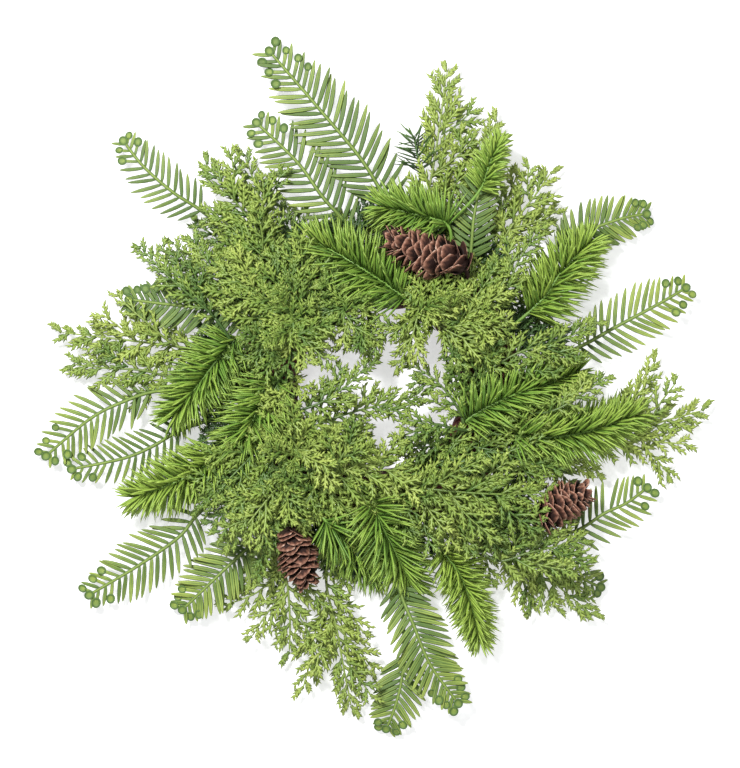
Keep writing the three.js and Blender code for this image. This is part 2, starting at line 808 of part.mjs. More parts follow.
function boxSolid(low, high) {
  const corner = (x, y, z) => new THREE.Vector3(x, y, z);
  const ring = (z) => [
    corner(low.x, low.y, z),
    corner(high.x, low.y, z),
    corner(high.x, high.y, z),
    corner(low.x, high.y, z),
  ];
  return loft([ring(low.z), ring(high.z)]);
}

// the bundle with its underside cut flat where it lies on the surface
function vineBundle() {
  const sections = [];
  for (let i = 0; i < VINE.steps; i += 1) sections.push(vineSection((-Math.PI * 2 * i) / VINE.steps));
  const reach = VINE.ringRadius * 2;
  const below = boxSolid(new THREE.Vector3(-reach, -reach, -reach), new THREE.Vector3(reach, reach, 0));
  return largest(loft(sections, true).subtract(below));
}

// ---------- setting the pieces in, from the lowest to the highest ----------

const placed = [];

function place(solid) {
  placed.push({ solid, box: solid.boundingBox() });
}

function boxesNear(a, b, gap) {
  return [0, 1, 2].every((i) => a.min[i] - gap < b.max[i] && b.min[i] - gap < a.max[i]);
}

function clearOfPlaced(probe) {
  const box = probe.boundingBox();
  if (box.min[2] < LOWEST_LEAF) return false;
  return placed.every(
    (other) => !boxesNear(box, other.box, CLEAR_GAP) || probe.minGap(other.solid, CLEAR_GAP * 2) >= CLEAR_GAP,
  );
}

// the first route, from low to high, on which the bare stem meets nothing
function settle(spray, kind, stemOf) {
  for (let lift = 0; lift <= MAX_LIFT; lift += LIFT_STEP) {
    for (const slide of SEAT_SLIDES) {
      for (const shift of SEAT_SHIFTS) {
        const curve = routeOf(spray, kind, lift, slide, shift);
        if (clearOfPlaced(stemOf(curve))) return curve;
      }
    }
  }
  throw new Error(`${spray.name} finds no clear route`);
}

const pieces = [];
const stems = []; // each stem a little fatter, to cut its hole in the vines

function keep(spray, solid, colour, roughness, fatStem) {
  pieces.push(toMesh(spray.name, solid, colour, roughness));
  place(solid);
  stems.push(fatStem);
}

// the part of a stem that runs in the vines, a little fatter and longer
function fatten(stations) {
  const inside = VINE_OUTSIDE + HOLE_MARGIN;
  const inVines = ({ at }) => at.z < VINE_TOP + HOLE_MARGIN && Math.hypot(at.x, at.y) < inside;
  const count = stations.findIndex((station) => !inVines(station));
  const low = stations.slice(0, Math.max(count, 1) + 1).map((station) => ({
    ...station,
    width: (station.width ?? station.radius * 2) + 2 * STEM_GAP,
    thickness: (station.thickness ?? station.radius * 2) + 2 * STEM_GAP,
  }));
  low[0].at = advance(low[0], -STEM_GAP);
  return ribSolid(low);
}

const bundle = vineBundle();
const bundleEntry = { solid: bundle, box: bundle.boundingBox() };

// blades and needles also stay out of the vines; stems have their holes there
function clearOfAll(probe) {
  const near = boxesNear(probe.boundingBox(), bundleEntry.box, CLEAR_GAP);
  return clearOfPlaced(probe) && (!near || probe.minGap(bundle, CLEAR_GAP * 2) >= CLEAR_GAP);
}

function addFrond(spray) {
  const curve = settle(spray, FROND, (route) => ribSolid(ribStations(route, FROND)));
  const stations = ribStations(curve, FROND);
  const blades = chooseBlades(FROND, stations, frondBladeAt(spray), clearOfAll);
  const roundEnd = buttonSections(FROND, stations.at(-1));
  const end = clearOfPlaced(endProbe(roundEnd)) ? roundEnd : [];
  keep(spray, ribSolid(stations, blades, end), COLOURS.frond, ROUGHNESS.frond, fatten(stations));
}

function addCedar(spray) {
  const curve = settle(spray, CEDAR, (route) => ribSolid(ribStations(route, CEDAR)));
  const stations = ribStations(curve, CEDAR);
  const solids = [ribSolid(stations, chooseBlades(CEDAR, stations, cedarBladeAt(spray), clearOfAll))];
  for (const fork of spray.forks ?? []) {
    const side = forkStations(fork, curve);
    if (!clearOfPlaced(ribSolid(side))) continue;
    const bare = side.map((station, i) => ({ ...station, leafy: i > 1 }));
    solids.push(ribSolid(side, chooseBlades(CEDAR, bare, cedarBladeAt(spray), clearOfAll)));
  }
  keep(spray, union(solids), COLOURS.cedar, ROUGHNESS.cedar, fatten(stations));
}

// a side branch starts in the middle of the main stem, at the main stem's own height there
function forkStations(fork, main) {
  const first = toMillimetres(fork[0]);
  const awayFrom = (p) => Math.hypot(p.x - first.x, p.y - first.y);
  const spots = main.getSpacedPoints(CURVE_STEPS);
  const nearest = spots.reduce((best, p) => (awayFrom(p) < awayFrom(best) ? p : best));
  const tipZ = main.getPointAt(1).z;
  const last = fork.length - 1;
  const points = fork.slice(1).map((p, i) => toMillimetres(p, lerp(nearest.z, tipZ, (i + 1) / last)));
  const curve = new THREE.CatmullRomCurve3([nearest, ...points], false, 'centripetal');
  const steps = Math.max(3, Math.round(curve.getLength() / CEDAR.spacing));
  const stations = [];
  for (let i = 0; i <= steps; i += 1) {
    stations.push({
      ...frameAt(curve, i / steps),
      along01: i / steps,
      leafy: true,
      spread: curve.getLength() / steps,
      width: lerp(CEDAR.stemWidth * CEDAR.forkStem, CEDAR.tipWidth, i / steps),
      thickness: lerp(CEDAR.stemThickness * CEDAR.forkStem, CEDAR.bladeThickness + RIB_OVER_BLADE, i / steps),
    });
  }
  return stations;
}

function addNeedles(spray) {
  const curve = settle(spray, NEEDLE, (route) => needleSolid(spray, coreStations(route, NEEDLE), null));
  const stations = coreStations(curve, NEEDLE);
  keep(spray, needleSolid(spray, stations, clearOfAll), COLOURS.needles, ROUGHNESS.needles, fatten(stations));
}

function addCone(spray) {
  const kind = { arch: 0 };
  const curve = settle(spray, kind, (route) => coneSolid(spray, route));
  const solid = coneSolid(spray, curve);
  const stalk = [...CONE.stalkParts, 1].map((part) => ({
    ...frameAt(curve, part * rootPart(curve)),
    radius: CONE.stalkRadius,
  }));
  keep(spray, solid, COLOURS.cone, ROUGHNESS.cone, fatten(stalk));
}

for (const [low, high] of OPEN_SHAFTS) {
  const [a, b] = [toMillimetres(low), toMillimetres(high)];
  place(boxSolid(new THREE.Vector3(a.x, b.y, -1), new THREE.Vector3(b.x, a.y, SHAFT_HEIGHT)));
}
FRONDS.forEach(addFrond);
CEDARS_LOW.forEach(addCedar);
NEEDLE_SPRAYS.forEach(addNeedles);
CONES.forEach(addCone);
CEDARS_HIGH.forEach(addCedar);
HOLE_SPRIGS.forEach(addCedar);

const ring = largest(bundle.subtract(wasm.Manifold.union(stems)));
pieces.unshift(toMesh('vine_ring', ring, COLOURS.vine, ROUGHNESS.vine));

// ---------- the wreath, moved so that its box is centred over the origin ----------

const wreath = new THREE.Group();
wreath.add(...pieces);
const box = new THREE.Box3().setFromObject(wreath);
wreath.position.set(-(box.min.x + box.max.x) / 2, -(box.min.y + box.max.y) / 2, -box.min.z);
wreath.updateMatrixWorld(true);

export default wreath;
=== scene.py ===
import math
import zlib

import bpy
import numpy as np
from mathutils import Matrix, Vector


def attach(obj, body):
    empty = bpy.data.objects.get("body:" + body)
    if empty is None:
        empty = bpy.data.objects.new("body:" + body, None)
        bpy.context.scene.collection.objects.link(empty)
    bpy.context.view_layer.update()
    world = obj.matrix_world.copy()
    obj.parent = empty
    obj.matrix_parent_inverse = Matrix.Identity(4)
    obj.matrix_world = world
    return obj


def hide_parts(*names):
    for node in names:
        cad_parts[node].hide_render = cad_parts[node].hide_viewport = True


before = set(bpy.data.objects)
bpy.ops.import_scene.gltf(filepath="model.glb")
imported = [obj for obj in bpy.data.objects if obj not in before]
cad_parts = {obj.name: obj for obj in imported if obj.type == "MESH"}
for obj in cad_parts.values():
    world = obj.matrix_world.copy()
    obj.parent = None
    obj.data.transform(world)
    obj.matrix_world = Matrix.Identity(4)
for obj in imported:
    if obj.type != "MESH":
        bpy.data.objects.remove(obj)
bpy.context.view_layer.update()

# Fresh evergreen wreath, seen from straight above. Lengths are in millimetres until a mesh is made.

# ---- the frame's driving dimensions ----

METRE = 0.001  # one millimetre in Blender's unit
MM_PER_PX = 0.61
RING_CENTRE_PX = (380, 388)
RING_CENTRE = np.array([4.508, -0.503])  # the same point in the frame
RING_RADIUS = 68
RING_HALF_WIDTH = 18.6
RING_HALF_HEIGHT = 13.4
RING_HEIGHT = 12.4
OVER_VINES = RING_HEIGHT + RING_HALF_HEIGHT + 2
VINES_REACH = RING_RADIUS + RING_HALF_WIDTH + 3
LOWEST_TWIG = 1.9  # no side spray bends lower than this
# each layer's height over the floor, at a spray's root and at its tip
LAYERS = {"floor": (10, 5), "low": (14, 9), "middle": (22, 17), "high": (31, 27), "top": (37, 36)}
FROND_ARCH = 5
CEDAR_ARCH = 4
NEEDLE_ARCH = 3

# ---- where each piece lies: its path is x, y, x, y and so on, in pixels of the view ----

OPEN = False
CLOSE = True

# fronds: layer, leaflet length, how close these lie, tint (deeper below 0.5, fresher above), path
FRONDS = {
    "frond_bottom_short": ("floor", 18, CLOSE, 0.52, (404, 655, 400, 689, 392, 716, 385, 732)),
    "frond_right_hidden": ("floor", 14, OPEN, 0.52, (545, 556, 567, 568, 585, 580, 604, 589)),
    "frond_upper_right": ("floor", 19, CLOSE, 0.42, (560, 256, 581, 235, 623, 218, 650, 213)),
    "frond_left_high": ("middle", 20, CLOSE, 0.04, (262, 312, 221, 309, 174, 305, 126, 299)),
    "frond_top_long": ("low", 26, OPEN, 0.3, (386, 205, 366, 166, 322, 112, 267, 48)),
    "frond_top_left": ("low", 22, OPEN, 0.26, (350, 228, 322, 196, 299, 164, 254, 120)),
    "frond_far_left": ("low", 18, OPEN, 0.28, (203, 212, 174, 193, 143, 166, 121, 138)),
    "frond_left_end": ("low", 20, OPEN, 0.52, (152, 392, 125, 401, 94, 416, 43, 458)),
    "frond_left_low": ("low", 17, OPEN, 0.34, (181, 430, 153, 446, 128, 457, 68, 470)),
    "frond_lower_left": ("low", 21, OPEN, 0.42, (198, 514, 181, 535, 144, 562, 86, 597)),
    "frond_bottom_left": ("low", 21, CLOSE, 0.52, (256, 540, 224, 570, 200, 593, 180, 612)),
    "frond_bottom": ("middle", 21, CLOSE, 0.5, (398, 585, 414, 626, 430, 664, 460, 706)),
    "frond_right_low": ("low", 20, OPEN, 0.52, (564, 533, 607, 512, 627, 503, 650, 486)),
    "frond_right": ("low", 21, OPEN, 0.66, (577, 348, 612, 329, 664, 301, 689, 286)),
    "frond_top_right": ("middle", 16, CLOSE, 0.16, (470, 260, 474, 216, 480, 186, 484, 168)),
}

BOTH = (1, -1)
RIGHT = (-1,)
LEFT = (1,)
LACY = (18, 3, 34, BOTH)
DENSE = (18, 4, 34, BOTH)

# cedar: layer, then longest branchlet, how many side sprays, their reach and sides, then the path of the
# main stem and of each side branch; the sprigs reach over the hole
CEDARS = {
    "cedar_left_end": ("low", (18, 2, 27, BOTH), (215, 352, 165, 345, 110, 338, 58, 332)),
    "cedar_left_lower": ("low", (18, 2, 22, BOTH), (175, 378, 140, 370, 105, 368, 71, 364)),
    "cedar_left_upper": ("low", (10, 1, 14, BOTH), (175, 345, 150, 325, 130, 308, 115, 293)),
    "cedar_upper_left": ("middle", (13, 3, 26, RIGHT), (215, 318, 186, 292, 160, 268, 139, 246),
        (206, 310, 196, 280, 173, 242)),
    "cedar_top_left": ("middle", DENSE, (282, 262, 252, 222, 226, 190, 206, 163),
        (272, 248, 262, 205, 244, 154)),
    "cedar_top": ("low", (19, 3, 30, RIGHT), (424, 214, 433, 168, 441, 116, 447, 66)),
    "cedar_top_right": ("low", (16, 3, 28, BOTH), (448, 226, 466, 186, 484, 150, 497, 119)),
    "cedar_upper_right": ("low", (16, 3, 26, BOTH), (496, 250, 516, 220, 536, 194, 552, 171),
        (506, 236, 530, 228, 557, 210), (500, 244, 506, 206, 519, 170)),
    "cedar_right_end": ("low", LACY, (590, 446, 630, 432, 668, 420, 705, 410),
        (604, 441, 630, 404, 656, 360), (612, 438, 648, 452, 670, 475)),
    "cedar_bottom_left": ("low", LACY, (284, 556, 288, 590, 290, 624, 289, 655),
        (285, 566, 258, 592, 224, 606)),
    "cedar_bottom": ("low", LACY, (326, 580, 336, 626, 344, 670, 352, 711),
        (332, 606, 314, 650, 302, 692), (336, 626, 358, 650, 375, 672)),
    "cedar_lower_right": ("low", LACY, (476, 500, 510, 536, 556, 584, 595, 617),
        (500, 526, 520, 572, 532, 611), (534, 562, 548, 590, 555, 610)),
    "cedar_over_left": ("high", (18, 3, 30, RIGHT), (292, 352, 258, 318, 222, 282, 192, 238)),
    "cedar_over_upper_left": ("high", DENSE, (322, 316, 290, 280, 256, 250, 218, 214)),
    "cedar_over_right": ("high", (13, 3, 30, LEFT), (476, 330, 502, 296, 520, 258, 542, 226)),
    "cedar_over_right_low": ("high", (14, 3, 30, RIGHT), (486, 372, 520, 352, 556, 342, 598, 322)),
    "cedar_right_middle": ("high", (11, 2, 14, LEFT), (548, 412, 570, 402, 590, 388, 607, 376)),
    "cedar_over_bottom_right": ("high", DENSE, (496, 560, 526, 553, 556, 546, 583, 540)),
    "cedar_over_right_cone": ("top", DENSE, (418, 488, 464, 492, 508, 494, 548, 492)),
    "cedar_left_inner": ("high", DENSE, (278, 440, 271, 475, 270, 512, 270, 546),
        (274, 456, 256, 486, 236, 513), (271, 480, 284, 506, 293, 528)),
    "cedar_over_bottom": ("high", DENSE, (300, 466, 338, 476, 366, 492, 388, 507),
        (308, 468, 316, 494, 322, 519)),
    "sprig_long": ("high", (14, 4, 20, BOTH), (300, 432, 340, 416, 384, 404, 424, 395)),
    "sprig_left": ("top", (13, 3, 17, BOTH), (296, 412, 322, 402, 346, 386, 370, 363)),
    "sprig_top": ("high", (11.7, 3, 17, BOTH), (430, 316, 402, 328, 372, 338, 340, 345)),
    "sprig_right": ("high", (11.7, 3, 17, BOTH), (462, 418, 448, 394, 430, 376, 407, 363)),
    "sprig_low_right": ("top", (10.4, 3, 17, BOTH), (452, 428, 434, 424, 412, 432, 392, 440)),
    "sprig_low": ("top", (11.7, 3, 17, BOTH), (335, 470, 342, 456, 354, 440, 365, 426)),
}

# more cedar between the nodes, on top of the vines: paths from where the stems leave the vines
FILLERS = [
    (455, 330, 470, 305, 488, 280, 500, 262), (436, 322, 458, 336, 480, 342, 504, 346),
    (408, 322, 428, 302, 446, 292, 470, 284), (322, 330, 300, 318, 275, 316, 248, 320),
    (290, 336, 277, 344, 264, 355, 250, 371), (306, 326, 298, 302, 286, 276, 272, 250),
    (330, 330, 322, 306, 314, 284, 304, 262), (300, 322, 274, 304, 248, 286, 218, 268),
    (322, 492, 310, 474, 304, 456, 306, 438), (284, 332, 298, 336, 312, 340, 326, 342),
    (302, 456, 292, 440, 276, 424, 264, 400), (290, 450, 306, 450, 322, 456, 338, 466),
    (346, 478, 376, 470, 402, 472, 426, 480), (418, 472, 440, 462, 462, 456, 486, 450),
    (400, 488, 430, 500, 452, 520, 468, 548), (440, 496, 470, 518, 500, 530, 530, 540),
    (466, 446, 500, 452, 530, 462, 560, 470), (360, 306, 344, 308, 328, 312, 310, 320),
    (482, 396, 476, 376, 478, 356, 488, 338), (390, 500, 410, 510, 428, 522, 442, 538),
    (268, 440, 246, 462, 222, 486, 198, 506), (276, 462, 254, 486, 232, 506, 210, 524),
    (282, 482, 262, 506, 244, 528, 226, 544),
]

# low cedar beside the vines, under the rest
LOW_FILLERS = [
    (276, 292, 246, 264, 220, 240, 194, 222), (318, 300, 304, 264, 290, 232, 276, 198),
    (330, 296, 334, 266, 338, 238, 344, 212), (462, 270, 452, 250, 441, 230, 430, 210),
    (300, 492, 280, 524, 262, 556, 244, 590), (306, 490, 292, 522, 282, 554, 276, 590),
    (332, 498, 340, 528, 343, 558, 345, 586), (462, 492, 474, 520, 484, 550, 492, 582),
    (360, 290, 362, 264, 366, 238, 372, 214), (500, 440, 535, 454, 568, 464, 600, 472),
    (266, 394, 246, 402, 228, 410, 212, 417), (478, 300, 502, 300, 528, 312, 556, 330),
]

# thinner cedar over the hole's edge and beside a cone
THIN_FILLERS = [
    (300, 488, 279, 516, 265, 546, 258, 578), (420, 300, 416, 322, 409, 345, 396, 368),
    (340, 306, 352, 324, 362, 340, 374, 356), (452, 438, 438, 444, 420, 448, 402, 450),
    (330, 458, 342, 448, 356, 444, 370, 442), (292, 384, 287, 398, 283, 414, 281, 430),
    (284, 372, 278, 384, 272, 396, 268, 410), (280, 330, 268, 337, 257, 347, 247, 359),
    (476, 362, 473, 340, 466, 318, 458, 298), (474, 322, 486, 325, 498, 328, 510, 330),
    (444, 286, 432, 285, 420, 284, 408, 282),
]

# needle sprays: layer, needle length, tint as above, path
NEEDLES = {
    "needles_top": ("low", 12.5, 0.72, (480, 190, 489, 165, 500, 138)),
    "pine_tuft": ("low", 16, 0.1, (420, 172, 417, 152, 414, 134)),
    "needles_over_top_cone": ("middle", 22, 0.5, (448, 226, 420, 216, 380, 206)),
    "needles_upper_left": ("middle", 25, 0.5, (405, 298, 387, 285, 353, 263, 311, 239)),
    "needles_upper_right": ("middle", 23, 0.72, (528, 313, 547, 294, 560, 274, 591, 241)),
    "needles_right": ("middle", 22, 0.5, (465, 422, 511, 396, 545, 385, 579, 371)),
    "needles_right_low": ("middle", 23, 0.64, (512, 436, 555, 437, 590, 431, 639, 414)),
    "needles_left": ("middle", 23, 0.5, (238, 338, 216, 362, 196, 388, 171, 419)),
    "needles_left_inner": ("middle", 25, 0.5, (278, 380, 260, 406, 248, 434, 233, 467)),
    "needles_lower_left": ("middle", 21, 0.82, (222, 450, 196, 472, 166, 486, 132, 498)),
    "needles_bottom_left": ("low", 23, 0.4, (325, 520, 345, 540, 362, 556, 380, 574)),
    "needles_bottom": ("middle", 24, 0.5, (370, 500, 384, 530, 397, 556, 412, 587)),
    "needles_bottom_right": ("middle", 17.5, 0.92, (441, 548, 458, 572, 471, 604, 480, 642)),
}

# cones: layer, radius, path from base to apex
CONES = {
    "cone_top": ("top", 14.6, (463, 267, 425, 254, 383, 236)),
    "cone_right": ("high", 13.6, (532, 516, 562, 503, 590, 490)),
    "cone_lower_left": ("high", 13.4, (291, 529, 299, 558, 309, 589)),
}

# ---- routes ----

NEAR_ROOT = 1.9  # a solid's points this near to its path's start give the stem's height there
ROOT_POINTS = 4  # the fewest that do
POINT_SLACK = 0.1
SEAT_POINTS = 4  # the solid's points farthest from its tip, which are the stem's lower end


def unit(vectors):
    return vectors / np.maximum(np.linalg.norm(vectors, axis=-1, keepdims=True), 1e-9)


def lerp(a, b, t):
    return a + (b - a) * t


def radians(degrees):
    """Degrees as a column of radians, a row for each piece."""
    return np.radians(degrees)[:, None]


def between(first, second, angle):
    """The direction at an angle from the first towards the second."""
    return first * np.cos(angle) + second * np.sin(angle)


def alternate(count):
    """One side and the other in turn."""
    return np.where(np.arange(count) % 2 == 0, 1.0, -1.0)


def to_frame(pixels):
    """Points in the frame, from x, y, x, y and so on in pixels."""
    return (np.reshape(pixels, (-1, 2)) - RING_CENTRE_PX) * (MM_PER_PX, -MM_PER_PX) + RING_CENTRE


class Route:
    """A smooth curve through points, measured by its length from 0 to 1."""

    STEPS = 50

    def __init__(self, points):
        points = np.array(points, float)
        ends = [2 * points[0] - points[1], *points, 2 * points[-1] - points[-2]]
        legs = [self.leg(*ends[i:i + 4]) for i in range(len(points) - 1)]
        self.track = np.concatenate([*legs, [points[-1]]])
        lengths = np.linalg.norm(np.diff(self.track, axis=0), axis=1)
        self.parts = np.concatenate([[0], np.cumsum(lengths)])
        self.length = self.parts[-1]
        self.parts = self.parts / self.length
        self.slopes = unit(np.gradient(self.track, axis=0))

    def leg(self, a, b, c, d):
        """The leg from b to c of a centripetal Catmull-Rom curve."""
        da, db, dc = (max(math.sqrt(np.linalg.norm(q - p)), 1e-4) for p, q in ((a, b), (b, c), (c, d)))
        start = ((b - a) / da - (c - a) / (da + db) + (c - b) / db) * db
        end = ((c - b) / db - (d - b) / (db + dc) + (d - c) / dc) * db
        t = np.linspace(0, 1, self.STEPS, endpoint=False)[:, None]
        bend = -3 * b + 3 * c - 2 * start - end
        twist = 2 * b - 2 * c + start + end
        return b + start * t + bend * t**2 + twist * t**3

    def at(self, part, values):
        return np.stack([np.interp(part, self.parts, row) for row in values.T], axis=-1)

    def frame(self, part):
        """Where the route is, and along it, to its left and out of its upper face."""
        along = unit(self.at(part, self.slopes))
        left = unit(np.cross([0, 0, 1], along))
        return self.at(part, self.track), along, left, np.cross(along, left)

    def root(self):
        """The part of its length at which its foliage starts: its second point."""
        return self.parts[self.STEPS]


def node_points(name):
    return np.array([v.co[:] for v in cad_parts[name].data.vertices]) / METRE


def route_of(name, layer, path, arch, seat_points=SEAT_POINTS):
    """The stem's middle line, at the height that its node has in the frame."""
    solid = node_points(name)
    flat = to_frame(path)
    root, tip = LAYERS[layer]
    part = np.linspace(0, 1, len(flat))
    over = np.where(np.linalg.norm(flat - RING_CENTRE, axis=1) < VINES_REACH, OVER_VINES, 0)
    heights = np.maximum(lerp(root, tip, part) + arch * np.sin(np.pi * part), over)
    reach = np.linalg.norm(solid[:, :2] - flat[0], axis=1)
    near = solid[reach < max(NEAR_ROOT, np.sort(reach)[ROOT_POINTS - 1] + POINT_SLACK)]
    lift = near[:, 2].mean() - heights[0]
    from_tip = np.linalg.norm(solid[:, :2] - flat[-1], axis=1)
    seat = solid[np.argsort(-from_tip)[:seat_points]].mean(axis=0)
    return Route([seat, *np.column_stack([flat, heights + lift])])


# ---- meshes grown from many small closed pieces ----

DIAMOND = np.array([(-1, 0), (0, 1), (1, 0), (0, -0.7)])
RIDGED = np.array([(-1, 0), (0, 1), (1, 0)])
CHANNEL = np.array([(-1, 0), (-0.5, 1), (0, 0.25), (0.5, 1), (1, 0), (0, -0.6)])
# painted light and shade across a leaflet: lighter on its raised ridges, darker in its groove, at its edges
# and underneath
CHANNEL_PAINTED_LIGHT = np.array([-0.4, 0.3, -0.3, 0.3, -0.4, -0.3])  # how much lighter each point of a channel is
STEM_RISE = 0.8  # a flat stem's thickness beside its width
MIDDLE_TINT = 0.5  # neither deeper nor fresher


def round_section(sides):
    turn = np.pi * 2 * np.arange(sides) / sides
    return np.stack([-np.cos(turn), np.sin(turn)], axis=1)


class Growth:
    """Points, faces and their shading, gathered piece by piece in millimetres."""

    def __init__(self):
        self.count = 0
        self.points, self.tones, self.tints = [], [], []
        self.corners, self.sizes, self.smooth = [], [], []

    def add(self, points, faces, tone, tint, smooth=True):
        """Adds n pieces of k points each: points (n, k, 3), tone (n, k), tint (n,) or one for all."""
        n, k = points.shape[:2]
        self.points.append(points.reshape(-1, 3))
        self.tones.append(np.broadcast_to(tone, (n, k)).ravel())
        self.tints.append(np.repeat(np.broadcast_to(tint, (n,)), k))
        flat = np.array([corner for face in faces for corner in face])
        sizes = np.array([len(face) for face in faces])
        offset = self.count + k * np.arange(n)[:, None]
        self.corners.append((flat[None] + offset).ravel())
        self.sizes.append(np.tile(sizes, n))
        self.smooth.append(np.full(n * len(faces), smooth))
        self.count += n * k

    def mesh(self, name):
        points = np.concatenate(self.points)
        points[:, 2] = np.maximum(points[:, 2], 0)
        corners = np.concatenate(self.corners).astype(np.int32)
        sizes = np.concatenate(self.sizes)
        mesh = bpy.data.meshes.new(name)
        mesh.vertices.add(len(points))
        mesh.vertices.foreach_set("co", (points * METRE).astype(np.float32).ravel())
        mesh.loops.add(len(corners))
        mesh.loops.foreach_set("vertex_index", corners)
        mesh.polygons.add(len(sizes))
        mesh.polygons.foreach_set("loop_start", (np.cumsum(sizes) - sizes).astype(np.int32))
        mesh.polygons.foreach_set("use_smooth", np.concatenate(self.smooth))
        mesh.update(calc_edges=True)
        for key, values in (("tone", self.tones), ("tint", self.tints)):
            layer = mesh.attributes.new(key, "FLOAT", "POINT")
            layer.data.foreach_set("value", np.concatenate(values).astype(np.float32))
        return mesh


def band(first, second, sides):
    """The faces between two rings of points, each ring given by its first point."""
    return [(first + k, second + k, second + (k + 1) % sides, first + (k + 1) % sides) for k in range(sides)]


def strip_faces(steps, sides):
    faces = [face for i in range(steps - 1) for face in band(sides * i, sides * (i + 1), sides)]
    last = sides * (steps - 1)
    faces += [(last + k, last + sides, last + (k + 1) % sides) for k in range(sides)]
    return [*faces, tuple(range(sides))]


def add_strips(growth, section, centre, up, half, thick, tone, tint, stripes=None):
    """Adds n slim closed pieces, each drawn out to a point at its end.

    centre (n, s + 1, 3) is the middle line, half and thick (n or 1, s) its half width and rise,
    up (n, 3) its upper side, stripes how much lighter than tone each point of the section is.
    """
    steps = half.shape[1]
    along = unit(np.gradient(centre, axis=1))
    side = unit(np.cross(up[:, None], along))
    rise = np.cross(along, side)
    body = centre[:, :steps, None]
    wide = side[:, :steps, None] * half[:, :, None, None] * section[None, None, :, :1]
    high = rise[:, :steps, None] * thick[:, :, None, None] * section[None, None, :, 1:]
    rings = (body + wide + high).reshape(len(centre), -1, 3)
    points = np.concatenate([rings, centre[:, steps:]], axis=1)
    ring_tone = np.repeat(tone[:, :steps], len(section), axis=1)
    if stripes is not None:
        ring_tone = ring_tone + np.tile(stripes, steps)
    tones = np.concatenate([ring_tone, tone[:, steps:]], axis=1)
    growth.add(points, strip_faces(steps, len(section)), tones, tint)


def add_stem(growth, route, first, last, steps, widths, tones, tint=MIDDLE_TINT, rise=STEM_RISE,
             sides=8, stripes=None):
    """Adds a round stem along a route, from one part of its length to another."""
    parts = np.linspace(first, last, steps + 1)
    centre = route.at(parts, route.track)[None]
    share = np.linspace(0, 1, steps + 1)[None]
    half = lerp(widths[0], widths[1], share[:, :-1]) / 2
    up = np.array([[0, 0, 1.0]])
    tone = lerp(tones[0], tones[1], share)
    section = round_section(sides)
    add_strips(growth, section, centre, up, half, half * rise, tone, tint, stripes)


def side_pieces(rng, route, part, share, lean, jitter, bend, roll):
    """Side pieces leave a rib to one side and the other in turn.

    Returns where, the rib's direction and upper side there, and each one's way out, direction and upper side.
    """
    count = len(share)
    at, along, left, out = route.frame(part)
    lean = radians(lerp(*lean, share) + rng.uniform(-jitter, jitter, count))
    outward = between(left * alternate(count)[:, None], out, radians(rng.uniform(*bend, count)))
    reach = unit(between(along, outward, lean))
    return at, along, out, outward, reach, unit(out + outward * rng.uniform(*roll, count)[:, None])


def bent_lines(base, reach, towards, length, bend, places):
    """Middle lines that leave base along reach and curve another way, at some shares of their length."""
    t = places[None, :, None]
    straight = reach[:, None] * t
    curve = towards[:, None] * (bend[:, None, None] * t**2)
    return base[:, None] + length[:, None, None] * (straight + curve)


# ---- materials ----

LIGHT_LEVEL = 1.5  # how much the light brightens a surface that it falls on
LEAF_SPECULAR = 0.38
BARK_SPECULAR = 0.3
MOTTLING = 260
GRAIN = 1600


def colour(*shown):
    """A colour given as it shows on a screen in full light, from 0 to 255."""
    values = [value / 255 for value in shown]
    linear = [v / 12.92 if v <= 0.04045 else ((v + 0.055) / 1.055) ** 2.4 for v in values]
    return (*(v / LIGHT_LEVEL for v in linear), 1)


def grey(value):
    return (value, value, value, 1)


class Shader:
    """A small helper for node trees that all drive one Principled BSDF."""

    def __init__(self, name, roughness, specular=0.5):
        self.material = bpy.data.materials.new(name)
        self.material.use_nodes = True
        self.tree = self.material.node_tree
        self.surface = self.tree.nodes["Principled BSDF"]
        self.surface.inputs["Roughness"].default_value = roughness
        self.surface.inputs["Specular IOR Level"].default_value = specular

    def node(self, kind, **settings):
        node = self.tree.nodes.new("ShaderNode" + kind)
        for key, value in settings.items():
            setattr(node, key, value)
        return node

    def link(self, output, target):
        self.tree.links.new(output, target)

    def attribute(self, name):
        return self.node("Attribute", attribute_name=name).outputs["Fac"]

    def ramp(self, factor, stops):
        node = self.node("ValToRGB")
        elements = node.color_ramp.elements
        while len(elements) < len(stops):
            elements.new(0.5)
        for element, (place, value) in zip(elements, stops):
            element.position = place
            element.color = value
        self.link(factor, node.inputs["Fac"])
        return node.outputs["Color"]

    def noise(self, scale, detail=3):
        node = self.node("TexNoise")
        node.inputs["Scale"].default_value = scale
        node.inputs["Detail"].default_value = detail
        place = self.node("TexCoord")
        self.link(place.outputs["Object"], node.inputs["Vector"])
        return node.outputs["Fac"]

    def mix(self, factor, first, second, blend="MIX"):
        node = self.node("Mix", data_type="RGBA", blend_type=blend)
        for socket, value in zip((node.inputs[0], node.inputs[6], node.inputs[7]), (factor, first, second)):
            if isinstance(value, bpy.types.NodeSocket):
                self.link(value, socket)
            else:
                socket.default_value = value
        return node.outputs[2]

    def bump(self, height, strength, distance):
        node = self.node("Bump")
        node.inputs["Strength"].default_value = strength
        node.inputs["Distance"].default_value = distance * METRE
        self.link(height, node.inputs["Height"])
        self.link(node.outputs["Normal"], self.surface.inputs["Normal"])

    def finish(self, base):
        self.link(base, self.surface.inputs["Base Color"])
        return self.material


